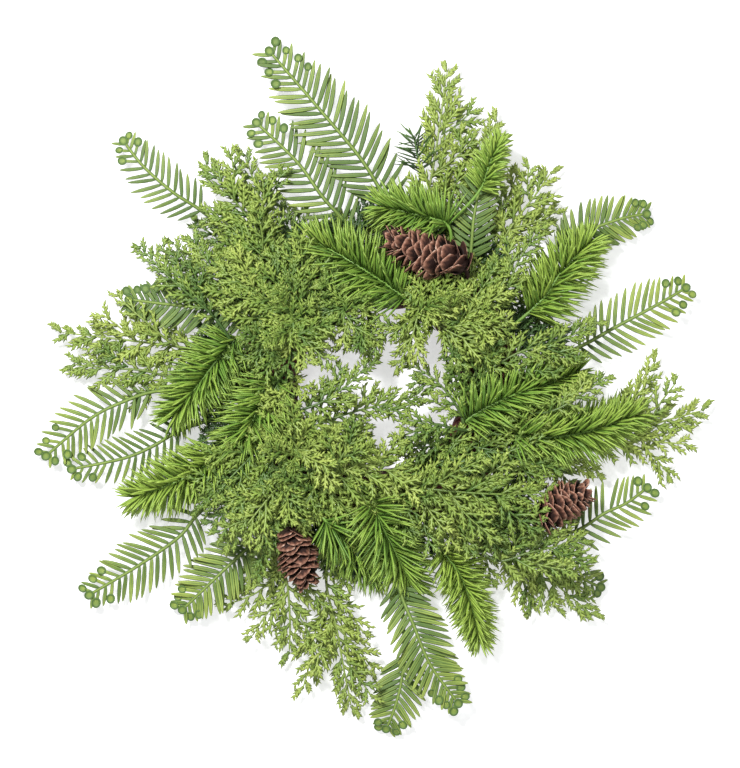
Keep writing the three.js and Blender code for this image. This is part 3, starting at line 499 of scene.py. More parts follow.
def leaf_material(name, roughness, fresh, deep, stops):
    """Base to tip by tone, fresher or deeper by each piece's tint, with faint mottling and a grain."""
    shader = Shader(name, roughness, LEAF_SPECULAR)
    # tone and tint also carry painted shade: darker at the bases, and deeper for low or hidden pieces
    along = shader.ramp(shader.attribute("tone"), [(place, colour(*shown)) for place, shown in stops])
    tint = shader.attribute("tint")
    lighter = shader.ramp(tint, [(0.45, grey(0)), (1, grey(0.75))])
    darker = shader.ramp(tint, [(0, grey(0.8)), (0.5, grey(0))])
    varied = shader.mix(lighter, along, colour(*fresh))
    varied = shader.mix(darker, varied, colour(*deep))
    blotches = shader.ramp(shader.noise(MOTTLING), [(0.35, grey(0.8)), (0.65, grey(1))])
    mottled = shader.mix(0.8, varied, blotches, "MULTIPLY")
    shader.bump(shader.noise(GRAIN), 0.25, 0.3)
    return shader.finish(mottled)


FROND_GREEN = leaf_material(
    "frond_leaf", 0.62, fresh=(174, 190, 84), deep=(78, 110, 46),
    stops=[(0, (62, 94, 44)), (0.3, (102, 132, 60)), (0.7, (144, 168, 74)), (1, (186, 202, 102))])
NEEDLE_GREEN = leaf_material(
    "needle_leaf", 0.46, fresh=(182, 210, 90), deep=(102, 148, 62),
    stops=[(0, (98, 140, 58)), (0.2, (118, 162, 64)), (0.6, (140, 182, 72)), (1, (174, 204, 92))])
CEDAR_GREEN = leaf_material(
    "cedar_leaf", 0.42, fresh=(198, 214, 106), deep=(80, 114, 52),
    stops=[(0, (60, 90, 40)), (0.3, (100, 132, 52)), (0.7, (148, 176, 74)), (1, (202, 218, 116))])
# painted shade: a darker copy of the cedar leaf, for low sprays whose gaps should read as shade
CEDAR_PAINTED_SHADE = leaf_material(
    "cedar_leaf_painted_shade", 0.5, fresh=(110, 146, 62), deep=(44, 70, 34),
    stops=[(0, (40, 58, 28)), (0.3, (62, 94, 40)), (0.7, (90, 128, 54)), (1, (120, 158, 70))])


def cone_material():
    shader = Shader("cone_scale", 0.7, BARK_SPECULAR)
    # near-black at a scale's root: painted shade in the gaps between scales; pale at its edge, partly the
    # scale's own colour and partly painted highlight
    stops = [(0, colour(6, 3, 2)), (0.44, colour(24, 12, 9)), (0.64, colour(134, 90, 70)),
             (0.84, colour(200, 150, 124)), (1, colour(250, 222, 200))]
    along = shader.ramp(shader.attribute("tone"), stops)
    streaks = shader.ramp(shader.noise(760, 6), [(0.34, (0.5, 0.44, 0.42, 1)), (0.62, grey(1))])
    tinted = shader.mix(shader.attribute("tint"), along, colour(150, 96, 80))
    mixed = shader.mix(0.75, shader.mix(0.25, along, tinted), streaks, "MULTIPLY")
    shader.bump(shader.noise(1400, 5), 0.8, 0.6)
    return shader.finish(mixed)


def vine_material():
    shader = Shader("vine_bark", 0.75, BARK_SPECULAR)
    stops = [(0.3, colour(58, 26, 26)), (0.6, colour(112, 54, 48)), (0.8, colour(150, 92, 76))]
    bark = shader.ramp(shader.noise(420, 6), stops)
    tinted = shader.mix(shader.attribute("tint"), bark, colour(88, 44, 40))
    shader.bump(shader.noise(900, 6), 0.8, 0.8)
    return shader.finish(shader.mix(0.4, bark, tinted))


CONE_BROWN = cone_material()
VINE_BARK = vine_material()


def add_object(name, data):
    made = bpy.data.objects.new(name, data)
    bpy.context.scene.collection.objects.link(made)
    return made


def keep(growth, name, material, node=None):
    """Makes a piece, in place of a node of the frame if one is given."""
    piece = add_object(name, growth.mesh(name))
    piece.data.materials.append(material)
    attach(piece, "root")
    if node:
        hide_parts(node)


def seeded(name):
    return np.random.default_rng(zlib.crc32(name.encode()))


# ---- camera and light ----

PHOTO_SIZE = (740, 768)
SENSOR_WIDTH = 36
CAMERA_HEIGHT = 6000  # far off, so that the view is nearly parallel
FOLIAGE_HEIGHT = 20  # the height at which one pixel is MM_PER_PX
SKY_COLOUR = (0.96, 0.98, 1, 1)
SKY_STRENGTH = 0.5
FLOOR_HALF = 6  # metres
FLOOR_GAP = 0.3  # how far the floor lies below the vines
FLOOR_COLOUR = (0.6, 0.6, 0.6, 1)
FLOOR_GLOW = 0.58  # paper lit from below, so that shadows stay faint
FLOOR_ROUGHNESS = 0.9


def add_camera():
    data = bpy.data.cameras.new("view_from_above")
    data.sensor_fit = "HORIZONTAL"
    data.sensor_width = SENSOR_WIDTH
    data.lens = SENSOR_WIDTH * (CAMERA_HEIGHT - FOLIAGE_HEIGHT) / (PHOTO_SIZE[0] * MM_PER_PX)
    camera = add_object("view_from_above", data)
    camera.location = Vector((*to_frame(np.array(PHOTO_SIZE) / 2)[0], CAMERA_HEIGHT)) * METRE
    bpy.context.scene.camera = camera


def add_light(name, place, size, watts):
    """Adds a round light that shines on the wreath, its place and size in metres."""
    data = bpy.data.lights.new(name, "AREA")
    data.shape = "DISK"
    data.size = size
    data.energy = watts
    light = add_object(name, data)
    light.location = place
    light.rotation_mode = "QUATERNION"
    light.rotation_quaternion = (-Vector(place)).to_track_quat("-Z", "Y")
    light.visible_camera = False


def add_sky():
    world = bpy.data.worlds.new("white_studio")
    world.use_nodes = True
    background = world.node_tree.nodes["Background"]
    background.inputs["Color"].default_value = SKY_COLOUR
    background.inputs["Strength"].default_value = SKY_STRENGTH
    bpy.context.scene.world = world


def add_floor():
    half = FLOOR_HALF
    mesh = bpy.data.meshes.new("floor")
    corners = [(-half, -half, 0), (half, -half, 0), (half, half, 0), (-half, half, 0)]
    mesh.from_pydata(corners, [], [(0, 1, 2, 3)])
    floor = add_object("floor", mesh)
    floor.location.z = -FLOOR_GAP * METRE
    paper = Shader("white_paper", FLOOR_ROUGHNESS)
    paper.surface.inputs["Base Color"].default_value = FLOOR_COLOUR
    paper.surface.inputs["Emission Color"].default_value = (1, 1, 1, 1)
    paper.surface.inputs["Emission Strength"].default_value = FLOOR_GLOW
    mesh.materials.append(paper.material)


add_camera()
add_sky()
add_floor()
add_light("soft_key", place=(-0.7, 0.9, 2.0), size=0.5, watts=86)
add_light("soft_fill", place=(1.4, -0.8, 1.5), size=1.6, watts=12)
bpy.context.scene.view_settings.view_transform = "Standard"

# ---- fern fronds ----

RIB_WIDTHS = (2.7, 1.8)  # in the vines and at its tip
RIB_TONES = (0.06, 0.24)
RIB_STRIPES = np.array([-0.1, 0.1, 0.5, 0.1, -0.1, -0.1, -0.1, -0.1])  # a light line along its top
RIB_STEPS = 40
RIB_SHORT = 2  # how far before the path's end it stops
SPACINGS = {OPEN: 4.8, CLOSE: 3.5}
CLOSE_HALF_WIDTH = 1.54
HALF_WIDTH = 0.066  # of other fronds' leaflets, beside their length
HALF_WIDTHS = (1.2, 1.5)  # the least and the most that this may be
LEAFLET_LEAN = (62, 50)  # degrees from the rib, at the first and at the last
LEAFLET_RISE = 0.42  # half its thickness
LEAFLET_TONES = (0.35, 0.85)
LEAFLET_PLACES = np.array([0, 0.14, 0.38, 0.66, 0.86, 0.96, 1])
LEAFLET_SHAPE = np.array([0.45, 0.85, 1, 0.93, 0.66, 0.34])
STALK_SHAPE = np.array([0.6, 0.78, 0.86, 0.9, 0.9, 0.86])
STALK_LENGTH = 0.66  # of a leaflet that ends in a button, beside the others
FEWEST = 5  # pairs of leaflets, or branchlets
BUTTON_FROM = 0.7  # share of the rib past which some leaflets end in a round button
DISC_SIDES = 14
DISC_RINGS = [(0.34, 0.14), (0.62, 0.16), (0.74, 0.3), (0.9, 0.34), (1, 0.1), (0.94, -0.2), (0.7, -0.32)]
DISC_TONES = (0.72, 0.5, 0, 0.4, 0.1, 0, 0)  # a light middle in a darker rim
DISC_MIDDLE = (0.1, 0.8)  # its height and its tone
DISC_STRETCH = 1.12
DISC_RISE = 0.8
DISC_RADII = (2.4, 3)
TIP_RADIUS = 2.9
TIP_TINT = 0.3


def disc_faces():
    faces = [(0, 1 + k, 1 + (k + 1) % DISC_SIDES) for k in range(DISC_SIDES)]
    last = 1
    for _ in DISC_RINGS[1:]:
        faces += band(last, last + DISC_SIDES, DISC_SIDES)
        last += DISC_SIDES
    return [*faces, tuple(range(last, last + DISC_SIDES))]


def add_discs(growth, centre, along, out, radius, tint):
    """Round buttons with a raised rim, slightly longer than wide."""
    side = np.cross(out, along)
    middle_height, middle_tone = DISC_MIDDLE
    points = [centre + out * radius[:, None] * middle_height]
    tones = [middle_tone]
    for (share, height), tone in zip(DISC_RINGS, DISC_TONES):
        for k in range(DISC_SIDES):
            angle = 2 * math.pi * k / DISC_SIDES
            spoke = along * (math.cos(angle) * DISC_STRETCH) + side * math.sin(angle)
            points.append(centre + (spoke * share + out * height * DISC_RISE) * radius[:, None])
            tones.append(tone)
    growth.add(np.stack(points, axis=1), disc_faces(), np.array(tones)[None], tint)


def make_frond(node, layer, longest, close, usual, path):
    rng = seeded(node)
    route = route_of(node, layer, path, FROND_ARCH)
    start = route.root()
    growth = Growth()
    end = 1 - RIB_SHORT / route.length
    add_stem(growth, route, 0, end, RIB_STEPS, RIB_WIDTHS, RIB_TONES, stripes=RIB_STRIPES)
    leafy = (end - start) * route.length
    pairs = max(FEWEST, round(leafy / SPACINGS[close]))
    count = pairs * 2
    pair, hand = np.divmod(np.arange(count), 2)
    along01 = (pair + rng.uniform(0.3, 0.6, count)) / pairs
    length = longest * (0.27 + 0.75 * np.sin(np.pi * (0.24 + 0.7 * along01))) * rng.uniform(0.94, 1.06, count)
    part = lerp(start, end, along01)
    at, along, out, outward, reach, up = side_pieces(
        rng, route, part, along01, LEAFLET_LEAN, 4, (-12, 5), (-0.25, 0.15))
    # deeper towards the frond's root: painted shade where it runs in under the other foliage
    tint = np.clip(rng.normal(usual, 0.16, count) - 0.4 * (1 - along01) ** 2, 0, 1)
    button = (along01 > BUTTON_FROM) & ((pair + hand + pairs) % 2 == 0)
    base = at + outward * 0.5

    for chosen, shape, reach_share in ((~button, LEAFLET_SHAPE, 1), (button, STALK_SHAPE, STALK_LENGTH)):
        if not chosen.any():
            continue
        size = length[chosen] * reach_share
        towards = along[chosen] * 0.7 - out[chosen] * 0.5
        droop = rng.uniform(0.02, 0.16, chosen.sum())
        lines = bent_lines(base[chosen], reach[chosen], towards, size, droop, LEAFLET_PLACES)
        wide = CLOSE_HALF_WIDTH if close else np.clip(longest * HALF_WIDTH, *HALF_WIDTHS)
        half = (wide * (0.8 + 0.2 * size / longest))[:, None] * shape[None]
        thick = np.full_like(half, LEAFLET_RISE)
        tone = lerp(*LEAFLET_TONES, LEAFLET_PLACES)[None]
        add_strips(growth, CHANNEL, lines, up[chosen], half, thick, tone, tint[chosen], CHANNEL_PAINTED_LIGHT)
        if shape is STALK_SHAPE:
            ahead = unit(lines[:, -1] - lines[:, -2])
            radius = rng.uniform(*DISC_RADII, len(size))
            add_discs(growth, lines[:, -1], ahead, up[chosen], radius, tint[chosen] * 0.7)
    tip_at, tip_along, _, tip_out = route.frame(np.array([end]))
    add_discs(growth, tip_at, tip_along, tip_out, np.array([TIP_RADIUS]), TIP_TINT)
    keep(growth, f"{node}_leaves", FROND_GREEN, node)


# ---- cedar sprays ----

TWIG_SPACING = 3.5
LACY_SPACING = 4.4
TWIG_STEPS = 5
TWIG_PLACES = np.linspace(0, 1, TWIG_STEPS + 1)
TWIG_LEAN = (50, 30)  # degrees from the rib, at the first and at the last
TWIG_HALF_WIDTHS = (1.1, 0.8)
# darker at a branchlet's base, painted shade near its rib; lighter towards its tip
TWIG_TONES = (0.05, 0.9)
SPRAY_RIB = (1.7, 0.9)  # its width at both ends
LOBE_GAP = 2.4  # a branchlet of full length has one lobe for each of these lengths
FEWEST_LOBES = 4
LOBES_SPAN = (0.1, 0.94)  # the part of a branchlet that has them
LOBE_LEAN = (27, 40)  # degrees from the branchlet
LOBE_LENGTH = 0.44  # beside its branchlet's
LOBE_LENGTHS = (4.6, 8)
LOBE_TAPER = (1.15, 0.6)  # how long the first and the last lobes are beside the usual
LOBE_PLACES = np.array([0, 0.34, 1])  # the shares of a lobe's length at which its middle line is given
LOBE_WIDTHS = np.array([0.6, 1])
# darker at a lobe's base, painted shade where it leaves its branchlet; lighter towards its tip
LOBE_TONES = np.array([0.14, 0.36, 0.6])
SPUR_FROM = 0.7  # share of a lobe's first step at which its own small point leaves it
SPUR_LEAN = (28, 42)
SPUR_LENGTHS = (0.38, 0.62)
SPUR_WIDTH = 0.75  # beside its lobe's
SPUR_RISE = 0.6  # its thickness beside its width


def add_lobes(growth, rng, lines, up, side, length, tint, per_twig):
    """Pointed lobes on both sides of each branchlet, each with a small point of its own."""
    count = len(lines)
    n = count * per_twig
    places = lerp(*LOBES_SPAN, (np.arange(per_twig) + 0.5) / per_twig)
    spots = places * TWIG_STEPS
    low = np.floor(spots).astype(int)
    share = (spots - low)[None, :, None]
    base = lerp(lines[:, low], lines[:, low + 1], share).reshape(-1, 3)
    forward = unit(lines[:, low + 1] - lines[:, low]).reshape(-1, 3)
    up = np.repeat(up, per_twig, axis=0)
    hand = np.tile(alternate(per_twig), count) * np.repeat(side, per_twig)
    across = unit(np.cross(up, forward)) * hand[:, None]
    across = unit(across + up * rng.uniform(-0.3, 0.4, n)[:, None])
    reach = unit(between(forward, across, radians(rng.uniform(*LOBE_LEAN, n))))
    size = np.repeat(np.clip(length * LOBE_LENGTH, *LOBE_LENGTHS), per_twig)
    size = size * np.tile(lerp(*LOBE_TAPER, places), count) * rng.uniform(0.8, 1.2, n)
    body = bent_lines(base, reach, forward, size, rng.uniform(-0.05, 0.2, n), LOBE_PLACES)
    half = np.clip(size * 0.19, 0.84, 1.25)
    tone = np.tile(0.4 * places, count)[:, None] + LOBE_TONES[None]
    shade = np.clip(np.repeat(tint, per_twig) + rng.normal(0, 0.07, n), 0, 1)
    add_strips(growth, RIDGED, body, up, half[:, None] * LOBE_WIDTHS, np.full((n, 2), 0.4), tone, shade)
    spread = unit(np.cross(up, reach))
    point = unit(between(reach, spread, radians(rng.uniform(*SPUR_LEAN, n))))
    start = lerp(body[:, 0], body[:, 1], SPUR_FROM)
    spur = size * rng.uniform(*SPUR_LENGTHS, n)
    lines = np.stack([start, start + point * spur[:, None]], axis=1)
    half = half[:, None] * SPUR_WIDTH
    add_strips(growth, RIDGED, lines, up, half, half * SPUR_RISE, tone[:, 1:], shade)


def add_spray(growth, route, start, rng, longest, tint, tone=0.0, thickness=1.0, spacing=TWIG_SPACING):
    """A flat spray: a rib with alternate branchlets, which carry the lobes."""
    leafy = (1 - start) * route.length
    count = max(FEWEST, round(leafy / spacing))
    widths = (SPRAY_RIB[0] * thickness, SPRAY_RIB[1])
    add_stem(growth, route, start, 1, 14, widths, (tone, 0.6), tint, sides=6)
    along01 = (np.arange(count) + rng.uniform(0.1, 0.7, count)) / count
    length = longest * (0.42 + 0.58 * np.sin(np.pi * (0.2 + 0.7 * along01))) * rng.uniform(0.8, 1.2, count)
    length = length * (1 - 0.35 * along01**3)
    part = lerp(start, 1, along01)
    at, along, _, _, reach, up = side_pieces(rng, route, part, along01, TWIG_LEAN, 9, (-11, 15), (-0.4, 0.3))
    shade = np.clip(tint + rng.normal(0, 0.08, count), 0, 1)
    lines = bent_lines(at, reach, along, length, rng.uniform(-0.1, 0.3, count), TWIG_PLACES)
    half = np.linspace(*TWIG_HALF_WIDTHS, TWIG_STEPS)[None]
    tones = np.linspace(*TWIG_TONES, TWIG_STEPS + 1)[None] + along01[:, None] * 0.1
    add_strips(growth, RIDGED, lines, up, half, half * 0.5, tones, shade)
    lobes = max(FEWEST_LOBES, round(longest / LOBE_GAP))
    add_lobes(growth, rng, lines, up, alternate(count), length, shade, lobes)


def side_twigs(growth, route, start, rng, count, reach, longest, tint,
               spacing=TWIG_SPACING, sides=BOTH):
    """Small sprays on both sides of a stem, tilted up and down so that the mass is deep."""
    for index in range(count):
        part = lerp(start, 1, 0.04 + 0.66 * (index + rng.uniform(0, 0.6)) / count)
        at, along, left, out = (v[0] for v in route.frame(np.array([part])))
        side = sides[index % len(sides)]
        lean = math.radians(rng.uniform(30, 52))
        tilt = math.radians(rng.uniform(-14, 20))
        way = unit(between(along, between(left * side, out, tilt), lean))
        size = reach * (1.05 - 0.45 * (part - start) / (1 - start)) * rng.uniform(0.85, 1.15)
        points = np.array([at, at + way * size * 0.5, at + way * size + along * size * 0.16])
        points[1:, 2] = np.maximum(points[1:, 2], LOWEST_TWIG)
        shade = np.clip(tint + rng.normal(0, 0.12), 0, 1)
        add_spray(growth, Route(points), 0.08, rng, longest, shade, 0.1, 0.7, spacing)


def fork_route(fork, main):
    """A side branch starts in the main stem, at the stem's own height, and ends at its tip's height."""
    first, *rest = to_frame(fork)
    nearest = main.track[np.argmin(np.linalg.norm(main.track[:, :2] - first, axis=1))]
    tip = main.track[-1][2]
    points = [(*p, lerp(nearest[2], tip, (i + 1) / len(rest))) for i, p in enumerate(rest)]
    return Route([nearest, *points])


STEM_WIDTHS = (2.2, 1.9)  # in the vines and where the spray starts
STEM_TONES = (0, 0.05)
STEM_OVERLAP = 0.02  # how far a stem runs into its spray, as a share of the route
SIDE_SPRAY = 0.7  # how long a side spray's branchlets are beside the main one's
LACY_TINTS = (0.58, 0.8)
DENSE_TINTS = (0.42, 0.58)


def make_cedar(node, layer, sizes, path, *forks):
    rng = seeded(node)
    route = route_of(node, layer, path, CEDAR_ARCH)
    start = route.root()
    growth = Growth()
    lacy = layer == "low"  # the outer sprays are lighter and more open
    tint = rng.uniform(*(LACY_TINTS if lacy else DENSE_TINTS))
    spacing = LACY_SPACING if lacy else TWIG_SPACING
    longest, twigs, twig_reach, sides = sizes
    add_stem(growth, route, 0, start + STEM_OVERLAP, 14, STEM_WIDTHS, STEM_TONES, tint)
    add_spray(growth, route, start, rng, longest, tint, spacing=spacing)
    side_twigs(growth, route, start, rng, twigs, twig_reach, longest * SIDE_SPRAY, tint, spacing, sides)
    for fork in forks:
        branch = fork_route(fork, route)
        add_spray(growth, branch, 0.02, rng, longest * 0.85, tint, 0.1, 0.8, spacing)
        if not lacy:
            side_twigs(growth, branch, 0.05, rng, 2, twig_reach * 0.8, longest * SIDE_SPRAY, tint)
    keep(growth, f"{node}_spray", CEDAR_GREEN, node)


FILLER_HEIGHTS = (27, 33, 34, 31)  # of a filler's four points
LOW_HEIGHTS = (21, 15, 10, 8)  # of a low filler's four points
# painted light and shade: a filler's tint follows its height, lighter higher up and deeper lower in the mass
FILLER_RISE = 4  # a filler lies up to this much higher or lower, and the higher ones are lighter
FILLER_TINTS = (0.45, 0.25)  # in the middle, and how much more it is at the highest
FILLER_SEAT = 10  # length of its stem in the vines
FILLER_STEM = (2.0, 1.8)
FILLER_SIDE_SPRAY = 0.73
SEAT_SPREAD = 9  # how far to either side of the vines' middle line a stem may go in
SEAT_HEIGHT = RING_HEIGHT + 4
UNDER_SPRAYS = 34
UNDER_POINTS = ((RING_RADIUS, RING_HEIGHT), (80, 17), (98, 15), (114, 11))  # from the centre, and up
UNDER_STEM = (2, 1.8)
# deep tints: painted shade under the rest
UNDER_TINTS = (0.2, 0.22)  # the stem's and the leaves'


def make_filler(name, path, longest, twigs, twig_reach, heights=FILLER_HEIGHTS):
    """A spray on top of the vines or, with low heights, beside them: its stem goes down into them."""
    rng = seeded(name)
    growth = Growth()
    rise = rng.uniform(-FILLER_RISE, FILLER_RISE)
    points = np.column_stack([to_frame(path), np.add(heights, rise)])
    first, second = points[:2]
    away = (first - unit(second - first) * FILLER_SEAT)[:2] - RING_CENTRE
    reach = np.clip(np.linalg.norm(away), RING_RADIUS - SEAT_SPREAD, RING_RADIUS + SEAT_SPREAD)
    seat = np.array([*(RING_CENTRE + unit(away) * reach), SEAT_HEIGHT])
    route = Route([seat, *points])
    middle_tint, lighter = FILLER_TINTS
    # painted light and shade by height: the higher the filler, the lighter its tint
    tint = middle_tint + lighter * rise / FILLER_RISE + rng.uniform(-0.06, 0.06)
    start = route.root()
    add_stem(growth, route, 0, start + STEM_OVERLAP, 10, FILLER_STEM, STEM_TONES, tint)
    add_spray(growth, route, start * 0.6, rng, longest, tint, 0, 0.9)
    side_twigs(growth, route, start * 0.7, rng, twigs, twig_reach, longest * FILLER_SIDE_SPRAY, tint)
    keep(growth, name, CEDAR_GREEN)


def make_understorey():
    """Low sprays out of the ring's outer side, all round: they make the mass deep, and their darker cedar
    colours are painted shade that makes its gaps dark.
    """
    rng = seeded("understorey")
    stem_tint, tint = UNDER_TINTS
    for index in range(UNDER_SPRAYS):
        growth = Growth()
        angle = 2 * math.pi * (index + rng.uniform(-0.25, 0.25)) / UNDER_SPRAYS
        turn = rng.uniform(-0.12, 0.12)
        points = []
        for step, (reach, height) in enumerate(UNDER_POINTS):
            way = angle + turn * step
            spoke = np.array([math.cos(way), math.sin(way)])
            points.append((*(RING_CENTRE + spoke * reach * rng.uniform(0.97, 1.03)), height))
        route = Route(points)
        start = route.root()
        add_stem(growth, route, 0, start, 8, UNDER_STEM, STEM_TONES, stem_tint)
        add_spray(growth, route, start, rng, 14, tint, 0, 0.9)
        side_twigs(growth, route, start, rng, 2, 22, 9, tint)
        keep(growth, f"cedar_under_{index + 1}", CEDAR_PAINTED_SHADE)


# ---- needle sprays ----

NEEDLE_PLACES = np.linspace(0, 1, 5)
NEEDLE_SHAPE = np.array([0.6, 1, 1, 0.76])
NEEDLE_HALF_WIDTH = 0.7
NEEDLE_RISE = 0.42  # its thickness beside its width
NEEDLE_LEAN = (66, 38)  # degrees from the stem, at the first and at the last
NEEDLE_TONES = (0.15, 1)
NEEDLE_STEM = (2.3, 1.3)
BELOW, ABOVE = 0.4, 0.7  # how far needles stand down and up, beside how far they stand sideways
PER_MM = 6  # needles for each millimetre of leafy stem
TUFT_PER_MM = 1.6
TUFT_HALF_WIDTH = 0.5
GOLDEN = 137.508  # degrees from one needle or scale to the next


def make_needles(node, layer, longest, usual, path):
    rng = seeded(node)
    route = route_of(node, layer, path, NEEDLE_ARCH)
    start = route.root()
    growth = Growth()
    add_stem(growth, route, 0, 1, 36, NEEDLE_STEM, (0.1, 0.4), rise=1)
    leafy = (1 - start) * route.length
    tuft = node == "pine_tuft"
    count = round(leafy * (TUFT_PER_MM if tuft else PER_MM))
    along01 = (np.arange(count) + rng.uniform(0, 1, count)) / count
    at, along, left, out = route.frame(lerp(start, 1, along01))
    angle = radians(np.arange(count) * GOLDEN + rng.uniform(-12, 12, count))
    sideways = np.cos(angle)
    level = np.sin(angle)
    level = np.where(level < 0, level * BELOW, level * ABOVE)
    radial = unit(left * (sideways + np.sign(sideways) * 0.12) + out * level)
    lean = radians(lerp(*NEEDLE_LEAN, along01**4) + rng.uniform(-12, 12, count))
    reach = unit(between(along, radial, lean))
    length = longest * lerp(1.08, 0.6, along01**3) * rng.uniform(0.8, 1.15, count)
    bend = rng.uniform(-0.12, 0.16, count)
    lines = bent_lines(at + radial * 0.6, reach, along, length, bend, NEEDLE_PLACES)
    wide = TUFT_HALF_WIDTH if tuft else NEEDLE_HALF_WIDTH
    half = wide * NEEDLE_SHAPE[None] * rng.uniform(0.85, 1.12, (count, 1))
    tone = lerp(*NEEDLE_TONES, NEEDLE_PLACES)[None]
    tint = np.clip(rng.normal(usual, 0.17, count) + 0.25 * along01**2, 0, 1)
    up = unit(out + radial * 0.2)
    add_strips(growth, DIAMOND, lines, up, half, half * NEEDLE_RISE, tone, tint)
    # the pine tuft takes the darker painted-shade cedar colours
    keep(growth, f"{node}_spray", CEDAR_PAINTED_SHADE if tuft else NEEDLE_GREEN, node)


# ---- cones ----

CONE_SCALES = 78
CONE_REACH = 0.18  # how far forward a scale reaches, as a share of the cone's length
CONE_STALK = 3
CONE_CORE = (0.8, 0.4)  # its width at both ends, beside the cone's radius
CONE_PATH_POINTS = 12  # the solid's points at the lower end of a stalk
SCALE_ROWS = 6
SCALE_COLUMNS = 9
SCALE_THICKNESS = (0.5, 0.26)  # half of it, at the scale's root and at its edge
# painted shade: a scale's underside is far darker than its upper side
UNDERSIDE_PAINTED_SHADE = 0.3  # beside the upper side's


def scale_faces():
    grid = np.arange((SCALE_ROWS + 1) * SCALE_COLUMNS).reshape(-1, SCALE_COLUMNS)
    under = grid.size
    quads = zip(grid[:-1, :-1].flat, grid[:-1, 1:].flat, grid[1:, 1:].flat, grid[1:, :-1].flat)
    faces = []
    for a, b, c, d in quads:
        faces += [(a, b, c, d), (a + under, d + under, c + under, b + under)]
    rim = [*grid[:, 0], *grid[-1, 1:], *grid[-2::-1, -1], *grid[0, -2:0:-1]]
    return faces + [(a, b, b + under, a + under) for a, b in zip(rim, [*rim[1:], rim[0]])]


def cone_profile(u):
    """How wide the cone is along its length, beside its radius."""
    return 0.3 + 0.7 * np.sin(np.pi * np.minimum(0.16 + 0.84 * u, 0.93)) ** 0.75


def make_cone(node, layer, radius, path):
    rng = seeded(node)
    route = route_of(node, layer, path, 0, CONE_PATH_POINTS)
    start = route.root()
    growth = Growth()
    add_stem(growth, route, 0, start + 0.05, 12, (CONE_STALK, CONE_STALK), (0.2, 0.3), rise=1)
    core = (1 - start) * route.length
    core_widths = [radius * share for share in CONE_CORE]
    # the core takes the darkest tones, painted shade among the scales
    add_stem(growth, route, start, 0.95, 16, core_widths, (0, 0.1), rise=1, sides=12)
    u = (np.arange(CONE_SCALES) + 0.5) / CONE_SCALES
    at, along, left, out = route.frame(start + (1 - start) * lerp(-0.05, 1 - CONE_REACH, u))
    radial = between(left, out, radians(np.arange(CONE_SCALES) * GOLDEN + rng.uniform(-9, 9, CONE_SCALES)))
    around = np.cross(radial, along)
    body = radius * cone_profile(u) * rng.uniform(0.88, 1.05, CONE_SCALES)
    size = CONE_REACH * core * lerp(0.92, 1.08, u) * rng.uniform(0.8, 1.2, CONE_SCALES)
    breadth = body * lerp(0.56, 0.48, u) * rng.uniform(0.8, 1.1, CONE_SCALES)
    skew = rng.uniform(-0.3, 0.3, CONE_SCALES)
    flare = lerp(1.3, 0.4, u) * np.clip(u * 5, 0, 1) * rng.uniform(0.3, 1.5, CONE_SCALES)
    wave = rng.uniform(0, 6, CONE_SCALES)

    # v runs from a scale's root to its edge, and w from one side of it to the other
    v = np.arange(SCALE_ROWS + 1)[:, None] / SCALE_ROWS
    column = np.arange(SCALE_COLUMNS)
    w = 2 * column / (SCALE_COLUMNS - 1) - 1
    body, size, breadth, skew, flare, wave = (
        values[:, None, None] for values in (body, size, breadth, skew, flare, wave))
    edge = v * (1 - 0.36 * abs(w) ** 2.2) + v**3 * 0.05 * np.sin(4 * w + wave)
    wide = breadth * (0.35 + 0.65 * np.sin(np.minimum(v * 1.25, 1) * np.pi / 2)) * w
    rise = body * (0.24 + 0.76 * (0.75 * edge + 0.25 * np.sin(np.minimum(edge, 1) * np.pi / 2)))
    rise = rise - w**2 * body * 0.15 + flare * edge**4
    forward = size * (edge + skew * w * v)
    at, along, radial, around = (ways[:, None, None] for ways in (at, along, radial, around))
    middle = at + along * forward[..., None] + radial * rise[..., None] + around * wide[..., None]
    thick = radial * lerp(*SCALE_THICKNESS, v)[..., None]
    points = np.stack([middle + thick, middle - thick], axis=1).reshape(CONE_SCALES, -1, 3)
    # painted shade at each scale's root and a painted highlight on its rim, partly its own pale edge, with
    # real lengthwise stripes
    tones = 0.8 * v * (0.85 + 0.15 * abs(w)) + (0.2 * v**5 + 0.1 * abs(w) ** 6) - 0.16 * (column % 2)
    tone = np.concatenate([tones.ravel(), tones.ravel() * UNDERSIDE_PAINTED_SHADE])[None]
    growth.add(points, scale_faces(), tone, rng.uniform(0, 1, CONE_SCALES))
    keep(growth, f"{node}_scales", CONE_BROWN, node)


# ---- the ring of twisted vines ----

VINES = 6
VINE_THICKNESS = (6, 7.2)  # from its middle to its bark
THIN_VINES = 3
THIN_THICKNESS = 2.1
CORE_THICKNESS = 7  # of the one in the middle
VINE_TURNS = 3
VINE_STEPS = 240
VINE_SIDES = 14


def vine_faces(steps, sides):
    rings = [(sides * i, sides * ((i + 1) % steps)) for i in range(steps)]
    turns = [(k, (k + 1) % sides) for k in range(sides)]
    return [(a + k, a + after, b + after, b + k) for a, b in rings for k, after in turns]


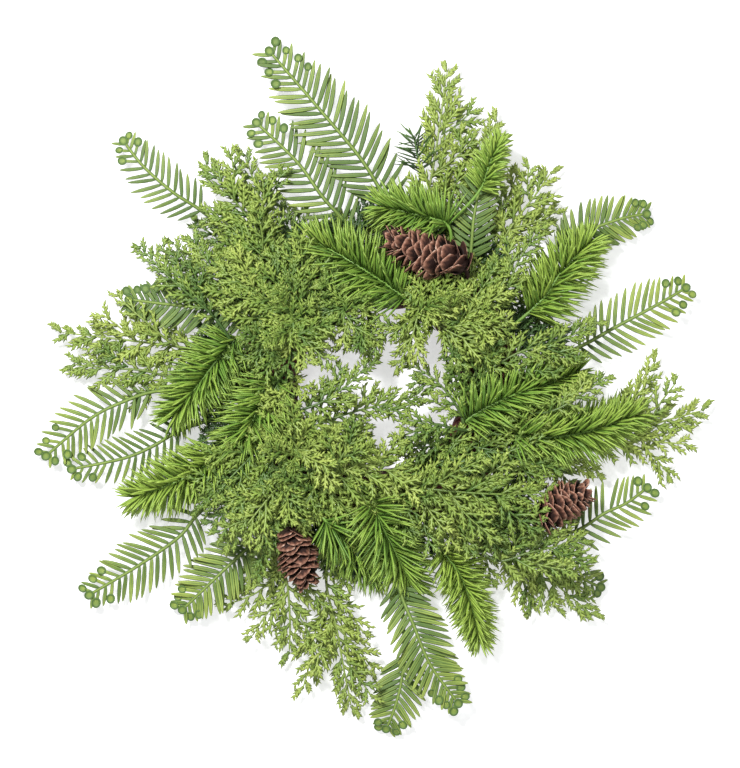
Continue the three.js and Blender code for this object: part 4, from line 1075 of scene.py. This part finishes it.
def add_vine(growth, rng, phase, turns, orbit, thickness, tint):
    """One closed vine: it winds round the bundle's middle line and bulges a little along its way."""
    theta = np.linspace(0, 2 * np.pi, VINE_STEPS, endpoint=False)
    wander = sum(rng.uniform(-0.12, 0.12) * np.sin(k * theta + rng.uniform(0, 6)) for k in (2, 3, 5))
    swell = 1 + sum(rng.uniform(-0.05, 0.05) * np.sin(k * theta + rng.uniform(0, 6)) for k in (4, 7, 11, 17))
    phi = phase + turns * theta + wander
    away = (RING_HALF_WIDTH - thickness) * orbit * np.cos(phi)
    height = RING_HEIGHT + (RING_HALF_HEIGHT - thickness) * orbit * np.sin(phi)
    radial = np.stack([np.cos(theta), np.sin(theta), np.zeros_like(theta)], axis=1)
    centre = radial * (RING_RADIUS + away)[:, None]
    centre[:, :2] += RING_CENTRE
    centre[:, 2] = height
    turn = 2 * np.pi * np.arange(VINE_SIDES) / VINE_SIDES
    ridges = 1 + 0.07 * np.sin(turn * 5 + rng.uniform(0, 6)) + 0.04 * np.sin(turn * 3)
    wide = thickness * swell[:, None] * ridges[None]
    points = centre[:, None] + radial[:, None] * (np.cos(turn)[None] * wide)[..., None]
    points[..., 2] += np.sin(turn)[None] * wide
    points[..., 2] = np.minimum(points[..., 2], RING_HEIGHT + RING_HALF_HEIGHT)
    growth.add(points.reshape(1, -1, 3), vine_faces(VINE_STEPS, VINE_SIDES), 0.5, tint)


def make_vines():
    rng = seeded("vine_ring")
    growth = Growth()
    for index in range(VINES):
        phase = 2 * math.pi * index / VINES
        add_vine(growth, rng, phase, -VINE_TURNS, 1, rng.uniform(*VINE_THICKNESS), rng.uniform(0, 1))
    for index in range(THIN_VINES):
        phase = 2 * math.pi * index / THIN_VINES + 0.4
        add_vine(growth, rng, phase, -VINE_TURNS * 2 - index, 1, THIN_THICKNESS, rng.uniform(0, 1))
    add_vine(growth, rng, 0, 0, 0, CORE_THICKNESS, 0.2)
    keep(growth, "vine_ring_vines", VINE_BARK, "vine_ring")


# ---- the wreath ----

make_vines()
for node, row in FRONDS.items():
    make_frond(node, *row)
for node, row in CEDARS.items():
    make_cedar(node, *row)
for kind, paths, sizes in (
    ("filler", FILLERS, (16, 4, 26)),
    ("low", LOW_FILLERS, (15, 4, 24, LOW_HEIGHTS)),
    ("thin", THIN_FILLERS, (12, 3, 16)),
):
    for index, path in enumerate(paths):
        make_filler(f"cedar_{kind}_{index + 1}", path, *sizes)
make_understorey()
for node, row in NEEDLES.items():
    make_needles(node, *row)
for node, row in CONES.items():
    make_cone(node, *row)
